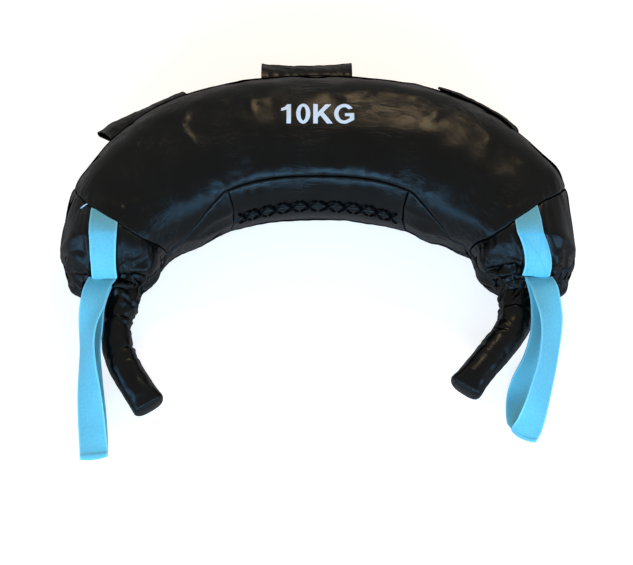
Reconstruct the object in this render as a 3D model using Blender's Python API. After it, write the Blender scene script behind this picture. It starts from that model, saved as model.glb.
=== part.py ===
"""Bulgarian bag, 10 kg: a crescent of stitched artificial leather, lying flat.

Metres, +Z up. The crescent lies in the XY plane, its hollow side towards -Y.
A place on the bag is given by two numbers. The first, t, runs along the crescent: 0 at the
middle, 1 where the crescent ends, 2 where the end cup has closed and 3 at the neck's mouth,
negative on the left. The second, phi, runs round the section in degrees: 0 on the hollow side,
90 on top, 180 on the outer seam and 270 underneath.
"""

from math import copysign, cos, pi, radians, sin, sqrt

import bmesh
import bpy
from mathutils import Matrix, Vector

# Crescent in plan: two superellipses, which give the outer seam and the hollow side.
OUTER_HALF_WIDTH = 0.2778
OUTER_DEPTH = 0.259
OUTER_CENTRE_Y = -0.0621
OUTER_POWER = 2.48
OUTER_END_ANGLE = 86.0
INNER_HALF_WIDTH = 0.175
INNER_DEPTH = 0.085
INNER_CENTRE_Y = -0.0561
INNER_POWER = 2.15
INNER_END_ANGLE = 74.5

# Section
MIDDLE_HALF_HEIGHT = 0.070
END_HALF_HEIGHT = 0.0585
SECTION_POWER = 2.2
SETTLED = 0.95  # centre height over half height: the underside is pressed flat

# End cup, and the neck that the handle swings in
CUP_POWER = 2.36
INNER_TUCK = 0.24
OUTER_TUCK = 0.06
CUP_MOUTH = Vector((OUTER_HALF_WIDTH - 0.0583, -0.0611, 0.042))
CUP_MOUTH_RADIUS = 0.028
NECK = Vector((CUP_MOUTH.x - 0.0065, -0.0801, 0.041))
NECK_RADIUS = 0.0198

# Sheets and clearances
LEATHER = 0.0015
SEAM_GAP = 0.0008
CLEARANCE = 0.0004
BACKING_DEPTH = 0.0022
WADDING_DEPTH = 0.0040
WADDING = 0.0036
LINER_DEPTH = 0.0104
CANVAS = 0.001
FILL_DEPTH = 0.0130
STUFFING_DEPTH = 0.0032
METRES_PER_DEGREE = 0.0013  # round the section
METRES_PER_T = 0.24  # along the crescent

# Gusset on the hollow side, and its laced closure
GUSSET_HALF_ANGLE = 35.0
GUSSET_END = 0.86
GUSSET_POWER = 2.6
CLOSURE_HALF = 0.40
CLOSURE_RISE = 3.2
CLOSURE_FALL = 5.0
SLIT_HALF_ANGLE = 0.8
BACKING_HALF_ANGLE = 11.0
LACE_RADIUS = 0.0011
LACE_PITCHES = 10
LACE_HALF_ANGLE = 5.8
LACE_HALF_LENGTH = 0.375

# End seam: t = END_SEAM_T + END_SEAM_TOP sin(phi) + END_SEAM_SLANT cos(phi)
END_SEAM_T = 0.8375
END_SEAM_TOP = 0.1075
END_SEAM_SLANT = 0.0575

# Handles: a stuffed sleeve that starts as a ball in the neck and bends inwards
HANDLE_RADIUS = 0.0167
HANDLE_BALL = 0.0172
HANDLE_WAIST = 0.0151
HANDLE_LENGTH = 0.123
HANDLE_CAP = 0.003
HANDLES = {
    "left": {"start": -2.0, "end": 34.0, "bend_from": 0.014, "bend_to": 0.088, "rise": -0.0215},
    "right": {"start": 10.0, "end": 36.5, "bend_from": 0.0, "bend_to": 0.050, "rise": 0.004},
}

# Webbing
WEBBING_WIDTH = 0.029
WEBBING = 0.0014
STITCH_LINE_Y = -0.0659
STITCH_LINE_Z = 0.0722
STITCH_LINE_X = {"left": 0.0503 - OUTER_HALF_WIDTH, "right": OUTER_HALF_WIDTH - 0.0468}
ANCHOR_LEAN = {"left": 0.0, "right": 0.012}
ANCHOR_FOOT_T = {"left": 1.914, "right": 1.905}

# Hand loops, each a list of places down the front leg, round the tip and up the back leg:
# metres from the stitch line outwards, along Y and up from the floor, then the roll that
# raises the inner selvage and the yaw that brings the outer selvage forward, in degrees.
LOOPS = {
    "left": (
        (0.0000, 0.0006, 0.0730, 0, 0),
        (0.0045, -0.0122, 0.0738, 8, 0),
        (0.0100, -0.0300, 0.0700, 26, 0),
        (0.0135, -0.0490, 0.0600, 46, 0),
        (0.0145, -0.0670, 0.0510, 54, 0),
        (0.0140, -0.0870, 0.0410, 48, 0),
        (0.0120, -0.1090, 0.0300, 32, 0),
        (0.0095, -0.1320, 0.0190, 16, 0),
        (0.0070, -0.1570, 0.0090, 5, 0),
        (0.0060, -0.1710, 0.0048, 0, 0),
        (0.0058, -0.1760, 0.0045, 0, 0),
        (0.0058, -0.1785, 0.0028, 0, 0),
        (0.0058, -0.1760, 0.0012, 0, 0),
        (0.0060, -0.1710, 0.0011, 0, 0),
        (0.0070, -0.1530, 0.0011, 0, 0),
        (0.0090, -0.1290, 0.0035, 8, 0),
        (0.0110, -0.1070, 0.0090, 24, 0),
        (0.0140, -0.0850, 0.0155, 36, 0),
        (0.0143, -0.0650, 0.0305, 46, 0),
        (0.0122, -0.0470, 0.0420, 44, 0),
        (0.0075, -0.0300, 0.0540, 28, 0),
        (0.0035, -0.0140, 0.0640, 10, 0),
        (0.0000, 0.0006, 0.0714, 0, 0),
    ),
    "right": (
        (0.0000, 0.0006, 0.0730, 0, 0),
        (0.0050, -0.0102, 0.0740, 6, 0),
        (0.0105, -0.0250, 0.0710, 15, 0),
        (0.0135, -0.0410, 0.0640, 30, 0),
        (0.0130, -0.0600, 0.0545, 42, 0),
        (0.0090, -0.0840, 0.0440, 46, 0),
        (0.0030, -0.1050, 0.0350, 42, 4),
        (-0.0040, -0.1270, 0.0240, 34, 12),
        (-0.0105, -0.1415, 0.0125, 20, 22),
        (-0.0160, -0.1485, 0.0060, 6, 28),
        (-0.0178, -0.1510, 0.0046, 0, 30),
        (-0.0185, -0.1527, 0.0028, 0, 30),
        (-0.0182, -0.1505, 0.0012, 0, 28),
        (-0.0184, -0.1455, 0.0011, 0, 24),
        (-0.0188, -0.1370, 0.0011, 0, 15),
        (-0.0186, -0.1200, 0.0012, 0, 6),
        (-0.0165, -0.1000, 0.0030, 5, 0),
        (-0.0110, -0.0840, 0.0100, 20, 0),
        (-0.0030, -0.0700, 0.0210, 34, 0),
        (0.0030, -0.0540, 0.0350, 38, 0),
        (0.0065, -0.0360, 0.0490, 30, 0),
        (0.0050, -0.0170, 0.0630, 12, 0),
        (0.0000, 0.0006, 0.0714, 0, 0),
    ),
}

# Grips: a strip folded double, its two edges held in the outer seam
GRIP_LENGTH = 0.104
GRIP_HEIGHT = 0.045
GRIP_CREST_SAG = 0.005
GRIP_BEAD = 0.0016
GRIP_PLY = 0.0013
GRIP_HINGE_OUT = 0.0046
GRIPS = {
    "centre": {"t": -0.0145, "puff": 0.0090, "lean": (-12.0, -24.0), "wrap": 0.0},
    "left": {"t": -0.436, "puff": 0.0090, "lean": (-37.5, -53.5), "wrap": 0.0},
    "right": {"t": 0.430, "puff": 0.0034, "lean": (90.0, 124.0), "wrap": 0.010},
}

# Colours as painted, 0 to 1 in each channel
LEATHER_COLOUR = (0.012, 0.011, 0.010)
WEBBING_COLOUR = (0.091, 0.521, 0.871)
LACE_COLOUR = (0.006, 0.006, 0.007)
CANVAS_COLOUR = (0.42, 0.37, 0.28)
WADDING_COLOUR = (0.35, 0.33, 0.30)
SAND_COLOUR = (0.46, 0.33, 0.18)
CORE_COLOUR = (0.25, 0.24, 0.22)


def signed_power(value, power):
    return copysign(abs(value) ** power, value)


def superellipse(angle, half_width, depth, centre_y, power):
    a = radians(angle)
    x = half_width * signed_power(sin(a), 2 / power)
    y = centre_y + depth * signed_power(cos(a), 2 / power)
    return Vector((x, y, 0.0))


def section(t):
    """Centre, half width vector, half height and power of the section at t on the right half."""
    along = min(t, 1.0)
    outer = superellipse(
        OUTER_END_ANGLE * along, OUTER_HALF_WIDTH, OUTER_DEPTH, OUTER_CENTRE_Y, OUTER_POWER
    )
    inner = superellipse(
        INNER_END_ANGLE * along, INNER_HALF_WIDTH, INNER_DEPTH, INNER_CENTRE_Y, INNER_POWER
    )
    height = MIDDLE_HALF_HEIGHT + (END_HALF_HEIGHT - MIDDLE_HALF_HEIGHT) * along**2
    centre = (outer + inner) / 2
    centre.z = SETTLED * height
    half = (outer - inner) / 2
    power = SECTION_POWER
    if t > 1:
        turn = pi / 2 * min(t - 1, 1.0)
        onward = sin(turn) ** (2 / CUP_POWER)
        closing = 1 - max(cos(turn), 0.0) ** (2 / CUP_POWER)
        centre = centre.lerp(CUP_MOUTH, onward)
        half = half.lerp(Vector((CUP_MOUTH_RADIUS, 0, 0)), closing)
        height += (CUP_MOUTH_RADIUS - height) * closing
        power += (2 - power) * closing
    if t > 2:
        taper = (3 - min(t, 3.0)) ** 2
        centre = CUP_MOUTH.lerp(NECK, t - 2)
        height = NECK_RADIUS + (CUP_MOUTH_RADIUS - NECK_RADIUS) * taper
        half = Vector((height, 0, 0))
    return centre, half, height, power


def plain_skin(t, phi):
    centre, half, height, power = section(abs(t))
    a = radians(phi)
    tucked = 1.0
    if abs(t) > 1:
        # The cup is drawn in further low down, most of all towards the hollow.
        inner = INNER_TUCK * max(0.0, cos(radians(phi - 318))) ** 2
        outer = OUTER_TUCK * max(0.0, cos(radians(phi - 205))) ** 2
        tucked -= (inner + outer) * sin(pi * min(1.0, (abs(t) - 1) / 1.25)) ** 2
    point = centre - half * signed_power(cos(a), 2 / power) * tucked
    point.z = max(0.0, centre.z + height * signed_power(sin(a), 2 / power) * tucked)
    if t < 0:
        point.x = -point.x
    return point


def skin(t, phi, depth=0.0):
    """The place on the bag at t and phi, that far under the outer surface."""
    step_t = 0.001
    step_phi = 0.3
    along = plain_skin(t + step_t, phi) - plain_skin(t - step_t, phi)
    round_it = plain_skin(t, phi + step_phi) - plain_skin(t, phi - step_phi)
    return plain_skin(t, phi) - along.cross(round_it).normalized() * depth


def lens(share, phi, depth, reach):
    """As skin, for share -1 to 1 of the reach in t, closing to a small mouth at both ends."""
    t = reach * share * (1.3 - 0.3 * share**2)
    centre = section(abs(t))[0]
    if t < 0:
        centre.x = -centre.x
    over = max(0.0, (abs(t) / reach - 0.86) / 0.14)
    shrink = max(0.12, sqrt(max(0.0, 1 - over**2)))
    return centre + (skin(t, phi, depth) - centre) * shrink


def end_seam(phi):
    a = radians(phi if phi <= 180 else 360 - phi)
    return END_SEAM_T + END_SEAM_TOP * sin(a) + END_SEAM_SLANT * cos(a)


def seam_angle(t):
    """Half the seam gap at phi 0 and 180, as an angle: the neck is far thinner than the bag."""
    per_degree = mix(METRES_PER_DEGREE, 0.00034, smooth(abs(t), 1.3, 2.0))
    return SEAM_GAP / 2 / per_degree


def gusset_angle(t):
    return GUSSET_HALF_ANGLE * max(0.0, 1 - (abs(t) / GUSSET_END) ** GUSSET_POWER)


def closure_line(t):
    return CLOSURE_RISE - CLOSURE_FALL * (t / CLOSURE_HALF) ** 2


def mix(a, b, share):
    return a + (b - a) * share


def smooth(value, low, high):
    share = min(1.0, max(0.0, (value - low) / (high - low)))
    return share * share * (3 - 2 * share)


def new_material(name, colour, roughness):
    material = bpy.data.materials.new(name)
    material.use_nodes = True
    shader = material.node_tree.nodes["Principled BSDF"]
    shader.inputs["Base Color"].default_value = (*colour, 1.0)
    shader.inputs["Roughness"].default_value = roughness
    shader.inputs["Metallic"].default_value = 0.0
    return material


def new_object(name, bm, material, pivot=None, crease=40.0):
    """The mesh as an object whose origin is the pivot, on a moving piece its joint's place."""
    bmesh.ops.recalc_face_normals(bm, faces=bm.faces)
    if bm.calc_volume(signed=True) < 0:
        bmesh.ops.reverse_faces(bm, faces=bm.faces)
    mesh = bpy.data.meshes.new(name)
    bm.to_mesh(mesh)
    bm.free()
    if pivot is not None:
        mesh.transform(Matrix.Translation(-pivot))
    mesh.shade_smooth()
    mesh.set_sharp_from_angle(angle=radians(crease))
    mesh.materials.append(material)
    obj = bpy.data.objects.new(name, mesh)
    bpy.context.scene.collection.objects.link(obj)
    if pivot is not None:
        obj.location = pivot
    return obj


def new_slab(rows, columns):
    """A sheet one unit square and one unit thick, its upper face at w = 0 and its lower at w = 1."""
    bm = bmesh.new()
    bmesh.ops.create_grid(bm, x_segments=rows, y_segments=columns, size=0.5)
    bmesh.ops.translate(bm, verts=bm.verts, vec=(0.5, 0.5, 0.0))
    below = bmesh.ops.extrude_face_region(bm, geom=bm.faces[:])
    verts = [item for item in below["geom"] if isinstance(item, bmesh.types.BMVert)]
    bmesh.ops.translate(bm, verts=verts, vec=(0.0, 0.0, 1.0))
    return bm


def sewn_panel(name, rows, columns, place, thickness, material, depth=0.0):
    """A sheet laid on the bag: place(u, v) gives t and phi, and depth is that of its outer face."""
    bm = new_slab(rows, columns)
    for vert in bm.verts:
        t, phi = place(vert.co.x, vert.co.y)
        vert.co = skin(t, phi, depth + thickness * vert.co.z)
    return new_object(name, bm, material)


def lofted(name, rings, material, pivot=None, inner_rings=None, crease=40.0):
    """A skin over rings of points. Inner rings make it a pipe, open at both ends."""
    bm = bmesh.new()

    def walls(loops, closed):
        made = [[bm.verts.new(point) for point in loop] for loop in loops]
        for lower, upper in zip(made, made[1:]):
            for i in range(len(lower)):
                j = (i + 1) % len(lower)
                bm.faces.new((lower[i], lower[j], upper[j], upper[i]))
        if closed:
            bm.faces.new(made[0])
            bm.faces.new(made[-1])
        return made

    outer = walls(rings, closed=inner_rings is None)
    if inner_rings is not None:
        inner = walls(inner_rings, closed=False)
        for a, b in ((outer[0], inner[0]), (outer[-1], inner[-1])):
            for i in range(len(a)):
                j = (i + 1) % len(a)
                bm.faces.new((a[i], a[j], b[j], b[i]))
    return new_object(name, bm, material, pivot, crease)


def catmull_rom(points, steps):
    """Places on a smooth curve through the points, a tuple of numbers each."""
    ends = [points[0], *points, points[-1]]
    curve = []
    for p0, p1, p2, p3 in zip(ends, ends[1:], ends[2:], ends[3:]):
        for k in range(steps):
            u = k / steps
            weights = (
                -0.5 * u**3 + u**2 - 0.5 * u,
                1.5 * u**3 - 2.5 * u**2 + 1,
                -1.5 * u**3 + 2 * u**2 + 0.5 * u,
                0.5 * u**3 - 0.5 * u**2,
            )
            corners = zip(p0, p1, p2, p3)
            curve.append(tuple(sum(w * c for w, c in zip(weights, four)) for four in corners))
    curve.append(tuple(points[-1]))
    return curve


def circle_ring(centre, forward, radius, sides):
    """Points round the centre, in the plane that faces forward."""
    level = forward.cross(Vector((0, 0, 1))).normalized()
    up = level.cross(forward).normalized()
    angles = [2 * pi * k / sides for k in range(sides)]
    return [centre + (level * cos(a) + up * sin(a)) * radius for a in angles]


def make_outer_panels(leather):
    gap_t = SEAM_GAP / 2 / METRES_PER_T

    def panel_place(u, v, under):
        share = copysign(abs(2 * u - 1) ** 0.9, 2 * u - 1)
        t = share * (end_seam(180 * v) - gap_t)
        low = gusset_angle(t) + seam_angle(t)
        phi = mix(low, 180 - seam_angle(t), v)
        t = share * (end_seam(phi) - gap_t)
        return t, (360 - phi if under else phi)

    sewn_panel("front_panel", 30, 10, lambda u, v: panel_place(u, v, False), LEATHER, leather)
    sewn_panel("back_panel", 30, 10, lambda u, v: panel_place(u, v, True), LEATHER, leather)

    for side, sign in (("left", -1), ("right", 1)):
        for face, under in (("front", False), ("back", True)):

            def end_place(u, v, sign=sign, under=under):
                t = mix(end_seam(180 * v) + gap_t, 3.0, u)
                phi = mix(seam_angle(t), 180 - seam_angle(t), v)
                t = mix(end_seam(phi) + gap_t, 3.0, u)
                return sign * t, (360 - phi if under else phi)

            sewn_panel(f"end_panel_{side}_{face}", 13, 10, end_place, LEATHER, leather)


def make_gusset(leather):
    gap_t = SEAM_GAP / 2 / METRES_PER_T
    gusset_tip = 0.82

    for side, sign in (("left", -1), ("right", 1)):

        def side_place(u, v, sign=sign):
            t = mix(CLOSURE_HALF + gap_t, gusset_tip, u)
            edge = gusset_angle(t) - seam_angle(t)
            return sign * t, mix(-edge, edge, v)

        sewn_panel(f"gusset_{side}", 11, 4, side_place, LEATHER, leather)

    def lip_place(u, v, sign):
        t = mix(-1, 1, u) * (CLOSURE_HALF - gap_t)
        line = closure_line(t)
        edge = gusset_angle(t) - seam_angle(t)
        at = round(3 * v)
        if at == 0:
            return t, line + sign * SLIT_HALF_ANGLE
        if at == 1:
            return t, line + sign * BACKING_HALF_ANGLE
        return t, mix(line + sign * BACKING_HALF_ANGLE, sign * edge, (at - 1) / 2)

    sewn_panel("closure_lip_upper", 16, 3, lambda u, v: lip_place(u, v, 1), LEATHER, leather)
    sewn_panel("closure_lip_lower", 16, 3, lambda u, v: lip_place(u, v, -1), LEATHER, leather)


def make_closure(lace, canvas):
    def backing_place(u, v):
        t = mix(-1, 1, u) * (CLOSURE_HALF - SEAM_GAP / 2 / METRES_PER_T)
        edges = (-BACKING_HALF_ANGLE, -SLIT_HALF_ANGLE, SLIT_HALF_ANGLE, BACKING_HALF_ANGLE)
        return t, closure_line(t) + edges[round(3 * v)]

    sewn_panel("closure_backing", 16, 3, backing_place, CANVAS, canvas, BACKING_DEPTH)

    places = []
    for strand in (0, 1):
        way = range(4 * LACE_PITCHES + 1)
        for k in (way if strand == 0 else reversed(way)):
            t = mix(-LACE_HALF_LENGTH, LACE_HALF_LENGTH, k / (4 * LACE_PITCHES))
            crossing = k % 4 == 2
            side = 1 if (k // 4 + strand) % 2 else -1
            swing = 0.0 if crossing else side * LACE_HALF_ANGLE * cos(pi * (k % 4) / 4)
            over = LACE_RADIUS + CLEARANCE
            over += (2 * LACE_RADIUS + CLEARANCE) * (crossing and (k // 4 + strand) % 2)
            places.append((t, closure_line(t) + swing, over))
    route = [skin(t, phi, -over) for t, phi, over in places]
    rings = []
    for before, here, after in zip([route[0], *route], route, [*route[1:], route[-1]]):
        rings.append(circle_ring(here, (after - before).normalized(), LACE_RADIUS, 6))
    lofted("lacing_cord", rings, lace, crease=80)


def make_inside(wadding, canvas, sand):
    def wadding_place(u, v, under):
        t = 0.95 * (2 * u - 1)
        edge = 1.0 + 17.0 * max(0.0, 1 - (t / 0.5) ** 4)
        phi = mix(edge, 179.0, v)
        return t, (360 - phi if under else phi)

    for face, under in (("front", False), ("back", True)):

        def this_wadding(u, v, under=under):
            return wadding_place(u, v, under)

        sewn_panel(f"wadding_{face}", 24, 10, this_wadding, WADDING, wadding, WADDING_DEPTH)

    reach = 0.965
    mouth = 0.24
    rows = 26
    columns = 16

    bm = new_slab(rows, columns)
    for vert in bm.verts:
        share = 2 * vert.co.x - 1
        slit = 0.4 + 7.0 * max(0.0, 1 - (share * 1.25 / mouth) ** 2)
        phi = mix(slit, 360 - slit, vert.co.y)
        inwards = vert.co.z
        vert.co = lens(share, phi, LINER_DEPTH + CANVAS * inwards, reach - 0.004 * inwards)
    new_object("sand_liner", bm, canvas)

    def patch_place(u, v):
        return mix(-mouth - 0.03, mouth + 0.03, u), mix(-10.0, 10.0, v)

    patch_depth = LINER_DEPTH - CLEARANCE * 2 - CANVAS
    sewn_panel("liner_mouth_patch", 12, 2, patch_place, CANVAS, canvas, patch_depth)

    rings = []
    for k in range(rows + 1):
        angles = [360 * j / columns for j in range(columns)]
        rings.append([lens(2 * k / rows - 1, phi, FILL_DEPTH, reach - 0.024) for phi in angles])
    lofted("sand_fill", rings, sand)

    for side, sign in (("left", -1), ("right", 1)):
        rings = []
        for t in (1.06, 1.2, 1.36, 1.52, 1.68, 1.82, 1.9):
            angles = [360 * j / 20 for j in range(20)]
            rings.append([skin(sign * t, phi, STUFFING_DEPTH) for phi in angles])
        lofted(f"end_stuffing_{side}", rings, wadding)


def handle_route(side, shape, steps):
    """Centres and directions down the handle, from its pivot in the neck to the cap."""
    sign = -1 if side == "left" else 1
    here = Vector((sign * NECK.x, NECK.y, NECK.z))
    stride = HANDLE_LENGTH / steps
    route = []
    for k in range(steps + 1):
        s = k * stride
        heading = mix(
            shape["start"], shape["end"], smooth(s, shape["bend_from"], shape["bend_to"])
        )
        a = radians(heading)
        slope = shape["rise"] / HANDLE_LENGTH * 1.5 * (1 - abs(2 * s / HANDLE_LENGTH - 1) ** 2)
        forward = Vector((-sign * sin(a), -cos(a), slope)).normalized()
        route.append((s, here.copy(), forward))
        here += forward * stride
    return route


def handle_radius(s):
    """Radius of the sleeve at s past the pivot: a ball, a waist, then the grip."""
    ball_ends = 0.0082
    if s < ball_ends:
        return sqrt(max(0.0, HANDLE_BALL**2 - s**2))
    return mix(HANDLE_WAIST, HANDLE_RADIUS, smooth(s, ball_ends, 0.022))


def make_handle(side, shape, leather, core):
    steps = 12
    sides = 14
    route = handle_route(side, shape, steps * 2)
    pivot = route[0][1].copy()
    start_forward = route[0][2]
    outer = []
    inner = []
    for s in (-0.0148, -0.0110, -0.0060):
        radius = sqrt(HANDLE_BALL**2 - s**2)
        centre = pivot + start_forward * s
        outer.append(circle_ring(centre, start_forward, radius, sides))
        inner.append(circle_ring(centre, start_forward, radius - LEATHER * 1.25, sides))
    for k, (s, centre, forward) in enumerate(route):
        if k % 2 and s > 0.02:
            continue
        outer.append(circle_ring(centre, forward, handle_radius(s), sides))
        inner.append(circle_ring(centre, forward, handle_radius(s) - LEATHER, sides))
    lofted(f"handle_sleeve_{side}", outer, leather, pivot, inner)

    rings = []
    for k, (s, centre, forward) in enumerate(route):
        if k % 2 and s > 0.02:
            continue
        if s < HANDLE_LENGTH - 0.001:
            radius = handle_radius(s) - LEATHER - CLEARANCE
            rings.append(circle_ring(centre, forward, radius, sides))
    s, centre, forward = route[-1]
    radius = handle_radius(s) - LEATHER - CLEARANCE
    rings.append(circle_ring(centre - forward * 0.0006, forward, radius, sides))
    lofted(f"handle_core_{side}", rings, core, pivot)

    rings = []
    for out, share in ((0.0, 1.0), (0.55, 1.0), (0.9, 0.93), (1.0, 0.8)):
        middle = centre + forward * (CLEARANCE + HANDLE_CAP * out)
        rings.append(circle_ring(middle, forward, HANDLE_RADIUS * share, sides))
    lofted(f"handle_cap_{side}", rings, leather, pivot)


def strip_rings(places, thickness, width):
    """Four corners of the webbing at each place: its centre, its direction and its width."""
    rings = []
    for centre, along, across in places:
        normal = along.cross(across).normalized()
        half = across * (width / 2)
        lift = normal * (thickness / 2)
        rings.append(
            [centre - half - lift, centre + half - lift, centre + half + lift, centre - half + lift]
        )
    return rings


def make_hand_loop(side, webbing):
    sign = -1 if side == "left" else 1
    pivot = Vector((STITCH_LINE_X[side], STITCH_LINE_Y, STITCH_LINE_Z))
    curve = catmull_rom(LOOPS[side], 3)
    centres = [Vector((pivot.x + sign * c[0], pivot.y + c[1], c[2])) for c in curve]
    places = []
    count = len(centres)
    for k, centre in enumerate(centres):
        along = (centres[min(k + 1, count - 1)] - centres[max(k - 1, 0)]).normalized()
        roll = radians(curve[k][3])
        yaw = radians(curve[k][4])
        across = Vector((sign * cos(roll) * cos(yaw), -sin(yaw) * cos(roll), -sin(roll)))
        places.append((centre, along, across))
    lofted(f"hand_loop_{side}", strip_rings(places, WEBBING, WEBBING_WIDTH), webbing, pivot)


def make_strap_anchor(side, webbing):
    """Two plies of webbing sewn flat down the end panel, from the end seam to the stitch line."""
    sign = -1 if side == "left" else 1
    lean = ANCHOR_LEAN[side]
    foot_x = abs(STITCH_LINE_X[side])
    bm = new_slab(10, 4)
    off = CLEARANCE + 0.0002
    for vert in bm.verts:
        u, v, w = vert.co
        x = foot_x - lean * (1 - u) + (v - 0.5) * WEBBING_WIDTH
        seam = end_seam(phi_at_x(0.9, x)) + SEAM_GAP / METRES_PER_T
        t = mix(seam, ANCHOR_FOOT_T[side], u)
        vert.co = skin(sign * t, phi_at_x(t, x), mix(-2 * WEBBING - off, -off, w))
    new_object(f"strap_anchor_{side}", bm, webbing)


def phi_at_x(t, x):
    """The angle on the upper side at which the section at t is that far from the middle plane."""
    low = 5.0
    high = 175.0
    for _ in range(40):
        middle = (low + high) / 2
        if plain_skin(t, middle).x < x:
            low = middle
        else:
            high = middle
    return (low + high) / 2


def grip_frame(grip):
    """Middle of the grip's straight hinge line, its direction, and the way out of the bag."""
    centre = plain_skin(grip["t"], 180.0)
    ahead = plain_skin(grip["t"] + 0.01, 180.0) - plain_skin(grip["t"] - 0.01, 180.0)
    ahead.z = 0.0
    along = ahead.normalized()
    out = Vector((-along.y, along.x, 0.0))
    return centre + out * GRIP_HINGE_OUT, along, out


def grip_spine(grip, height, stops):
    """Places down the middle of the folded strip: out of the hinge line, up, and the lean there."""
    spine = []
    for s in stops:
        x = 0.0
        z = 0.0
        steps = 12
        for k in range(steps):
            a = radians(mix(*grip["lean"], s * (k + 0.5) / steps / height))
            x += cos(a) * s / steps
            z += sin(a) * s / steps
        spine.append((x, z, radians(mix(*grip["lean"], s / height))))
    return spine


def grip_outline(grip, height, stops, halves):
    up = []
    down = []
    for (x, z, a), half in zip(grip_spine(grip, height, stops), halves):
        up.append((x - sin(a) * half, z + cos(a) * half))
        down.append((x + sin(a) * half, z - cos(a) * half))
    return up + down[::-1]


def grip_half(grip, height, s):
    """Half the thickness of the folded strip at s from the hinge line."""
    if s < GRIP_BEAD:
        return sqrt(GRIP_BEAD**2 - min(s, 0.0) ** 2)
    belly = sin(pi * (s / height) ** 0.8)
    return max(GRIP_PLY + 0.0003, grip["puff"] * max(0.0, belly) ** 0.75)


def grip_ring(base, out, line, wrap):
    """The outline at one place along the grip, its top bent back round the bag by the wrap."""
    ring = []
    for x, z in line:
        back = wrap * max(0.0, z - GRIP_BEAD * 2)
        ring.append(base + out * (x - back) + Vector((0, 0, z)))
    return ring


def make_grip(name, grip, leather):
    hinge, along, out = grip_frame(grip)
    stations = 6
    outer = []
    inner = []
    for k in range(stations + 1):
        share = 2 * k / stations - 1
        height = GRIP_HEIGHT - GRIP_CREST_SAG * (1 - share**2)
        base = hinge + along * (share * GRIP_LENGTH / 2)
        stops = [height * part for part in (0.05, 0.15, 0.3, 0.5, 0.72, 0.9, 1.0)]
        stops.insert(0, -0.9 * GRIP_BEAD)
        halves = [grip_half(grip, height, s) for s in stops]
        halves[-1] = GRIP_PLY * 0.7
        wrap = grip["wrap"] * share**2 / (height - GRIP_BEAD * 2)
        line = grip_outline(grip, height, stops, halves)
        outer.append(grip_ring(base, out, line, wrap))
        hollow = (0.16 * height, height - 1.7 * GRIP_PLY)
        stops = [mix(*hollow, part) for part in (0.0, 0.1, 0.24, 0.4, 0.58, 0.76, 0.92, 1.0)]
        halves = [max(0.0003, grip_half(grip, height, s) - GRIP_PLY) for s in stops]
        line = grip_outline(grip, height, stops, halves)
        inner.append(grip_ring(base, out, line, wrap))
    lofted(f"grip_sleeve_{name}", outer, leather, hinge, inner)

    bm = new_slab(8, 1)
    for vert in bm.verts:
        u, v, w = vert.co
        straight = hinge + along * ((u - 0.5) * GRIP_LENGTH) - out * (GRIP_BEAD + 2 * CLEARANCE)
        seam = plain_skin(nearest_t(straight, grip["t"]), 180.0)
        seam += (straight - seam).normalized() * CLEARANCE
        point = seam.lerp(straight, v)
        point.z = hinge.z + mix(GRIP_PLY, -GRIP_PLY, w)
        vert.co = point
    new_object(f"grip_root_{name}", bm, leather)


def nearest_t(point, guess):
    """The t on the outer seam that lies nearest to the point."""
    best = guess
    span = 0.3
    for _ in range(6):
        tries = [best + span * (k / 10 - 1) for k in range(21)]
        best = min(tries, key=lambda t: (plain_skin(t, 180.0) - point).length)
        span /= 8
    return best


def clear_scene():
    for obj in list(bpy.data.objects):
        bpy.data.objects.remove(obj, do_unlink=True)


def main():
    clear_scene()
    leather = new_material("artificial leather", LEATHER_COLOUR, 0.45)
    webbing = new_material("polypropylene webbing", WEBBING_COLOUR, 0.7)
    lace = new_material("waxed lacing cord", LACE_COLOUR, 0.6)
    canvas = new_material("cotton canvas", CANVAS_COLOUR, 0.9)
    wadding = new_material("wool wadding", WADDING_COLOUR, 0.95)
    sand = new_material("sand filling", SAND_COLOUR, 0.95)
    core = new_material("rolled felt core", CORE_COLOUR, 0.9)

    make_outer_panels(leather)
    make_gusset(leather)
    make_closure(lace, canvas)
    make_inside(wadding, canvas, sand)
    for side, shape in HANDLES.items():
        make_handle(side, shape, leather, core)
        make_strap_anchor(side, webbing)
        make_hand_loop(side, webbing)
    for name, grip in GRIPS.items():
        make_grip(name, grip, leather)


main()
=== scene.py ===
"""Bulgarian bag, dressed: the looks of a laced, sand-filled crescent of artificial leather.

A place on the bag is given by t, along the crescent from -3 at the left neck to 3 at the right
one, and phi, round the section in degrees: 0 on the hollow side, 90 on top, 180 on the outer
seam and 270 underneath. Lengths are metres.
"""

from math import cos, pi, radians, sin

import bpy
import numpy as np
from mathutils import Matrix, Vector, noise
from mathutils.bvhtree import BVHTree


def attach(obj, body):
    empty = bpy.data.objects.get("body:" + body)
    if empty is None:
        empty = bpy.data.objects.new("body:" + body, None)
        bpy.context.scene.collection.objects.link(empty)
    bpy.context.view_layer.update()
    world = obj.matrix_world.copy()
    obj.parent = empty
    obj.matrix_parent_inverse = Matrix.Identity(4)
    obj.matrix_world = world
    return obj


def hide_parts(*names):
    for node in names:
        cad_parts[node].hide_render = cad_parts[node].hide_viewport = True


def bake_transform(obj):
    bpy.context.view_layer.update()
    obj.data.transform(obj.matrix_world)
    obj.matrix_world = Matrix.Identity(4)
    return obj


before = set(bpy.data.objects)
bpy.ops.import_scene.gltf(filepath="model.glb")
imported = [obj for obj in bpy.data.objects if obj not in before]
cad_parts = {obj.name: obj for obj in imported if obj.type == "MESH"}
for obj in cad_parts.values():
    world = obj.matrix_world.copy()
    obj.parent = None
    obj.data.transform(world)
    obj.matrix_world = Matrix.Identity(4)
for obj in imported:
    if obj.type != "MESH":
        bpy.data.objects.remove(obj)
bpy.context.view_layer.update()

scene = bpy.context.scene

SIDES = {"left": -1, "right": 1}

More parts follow.
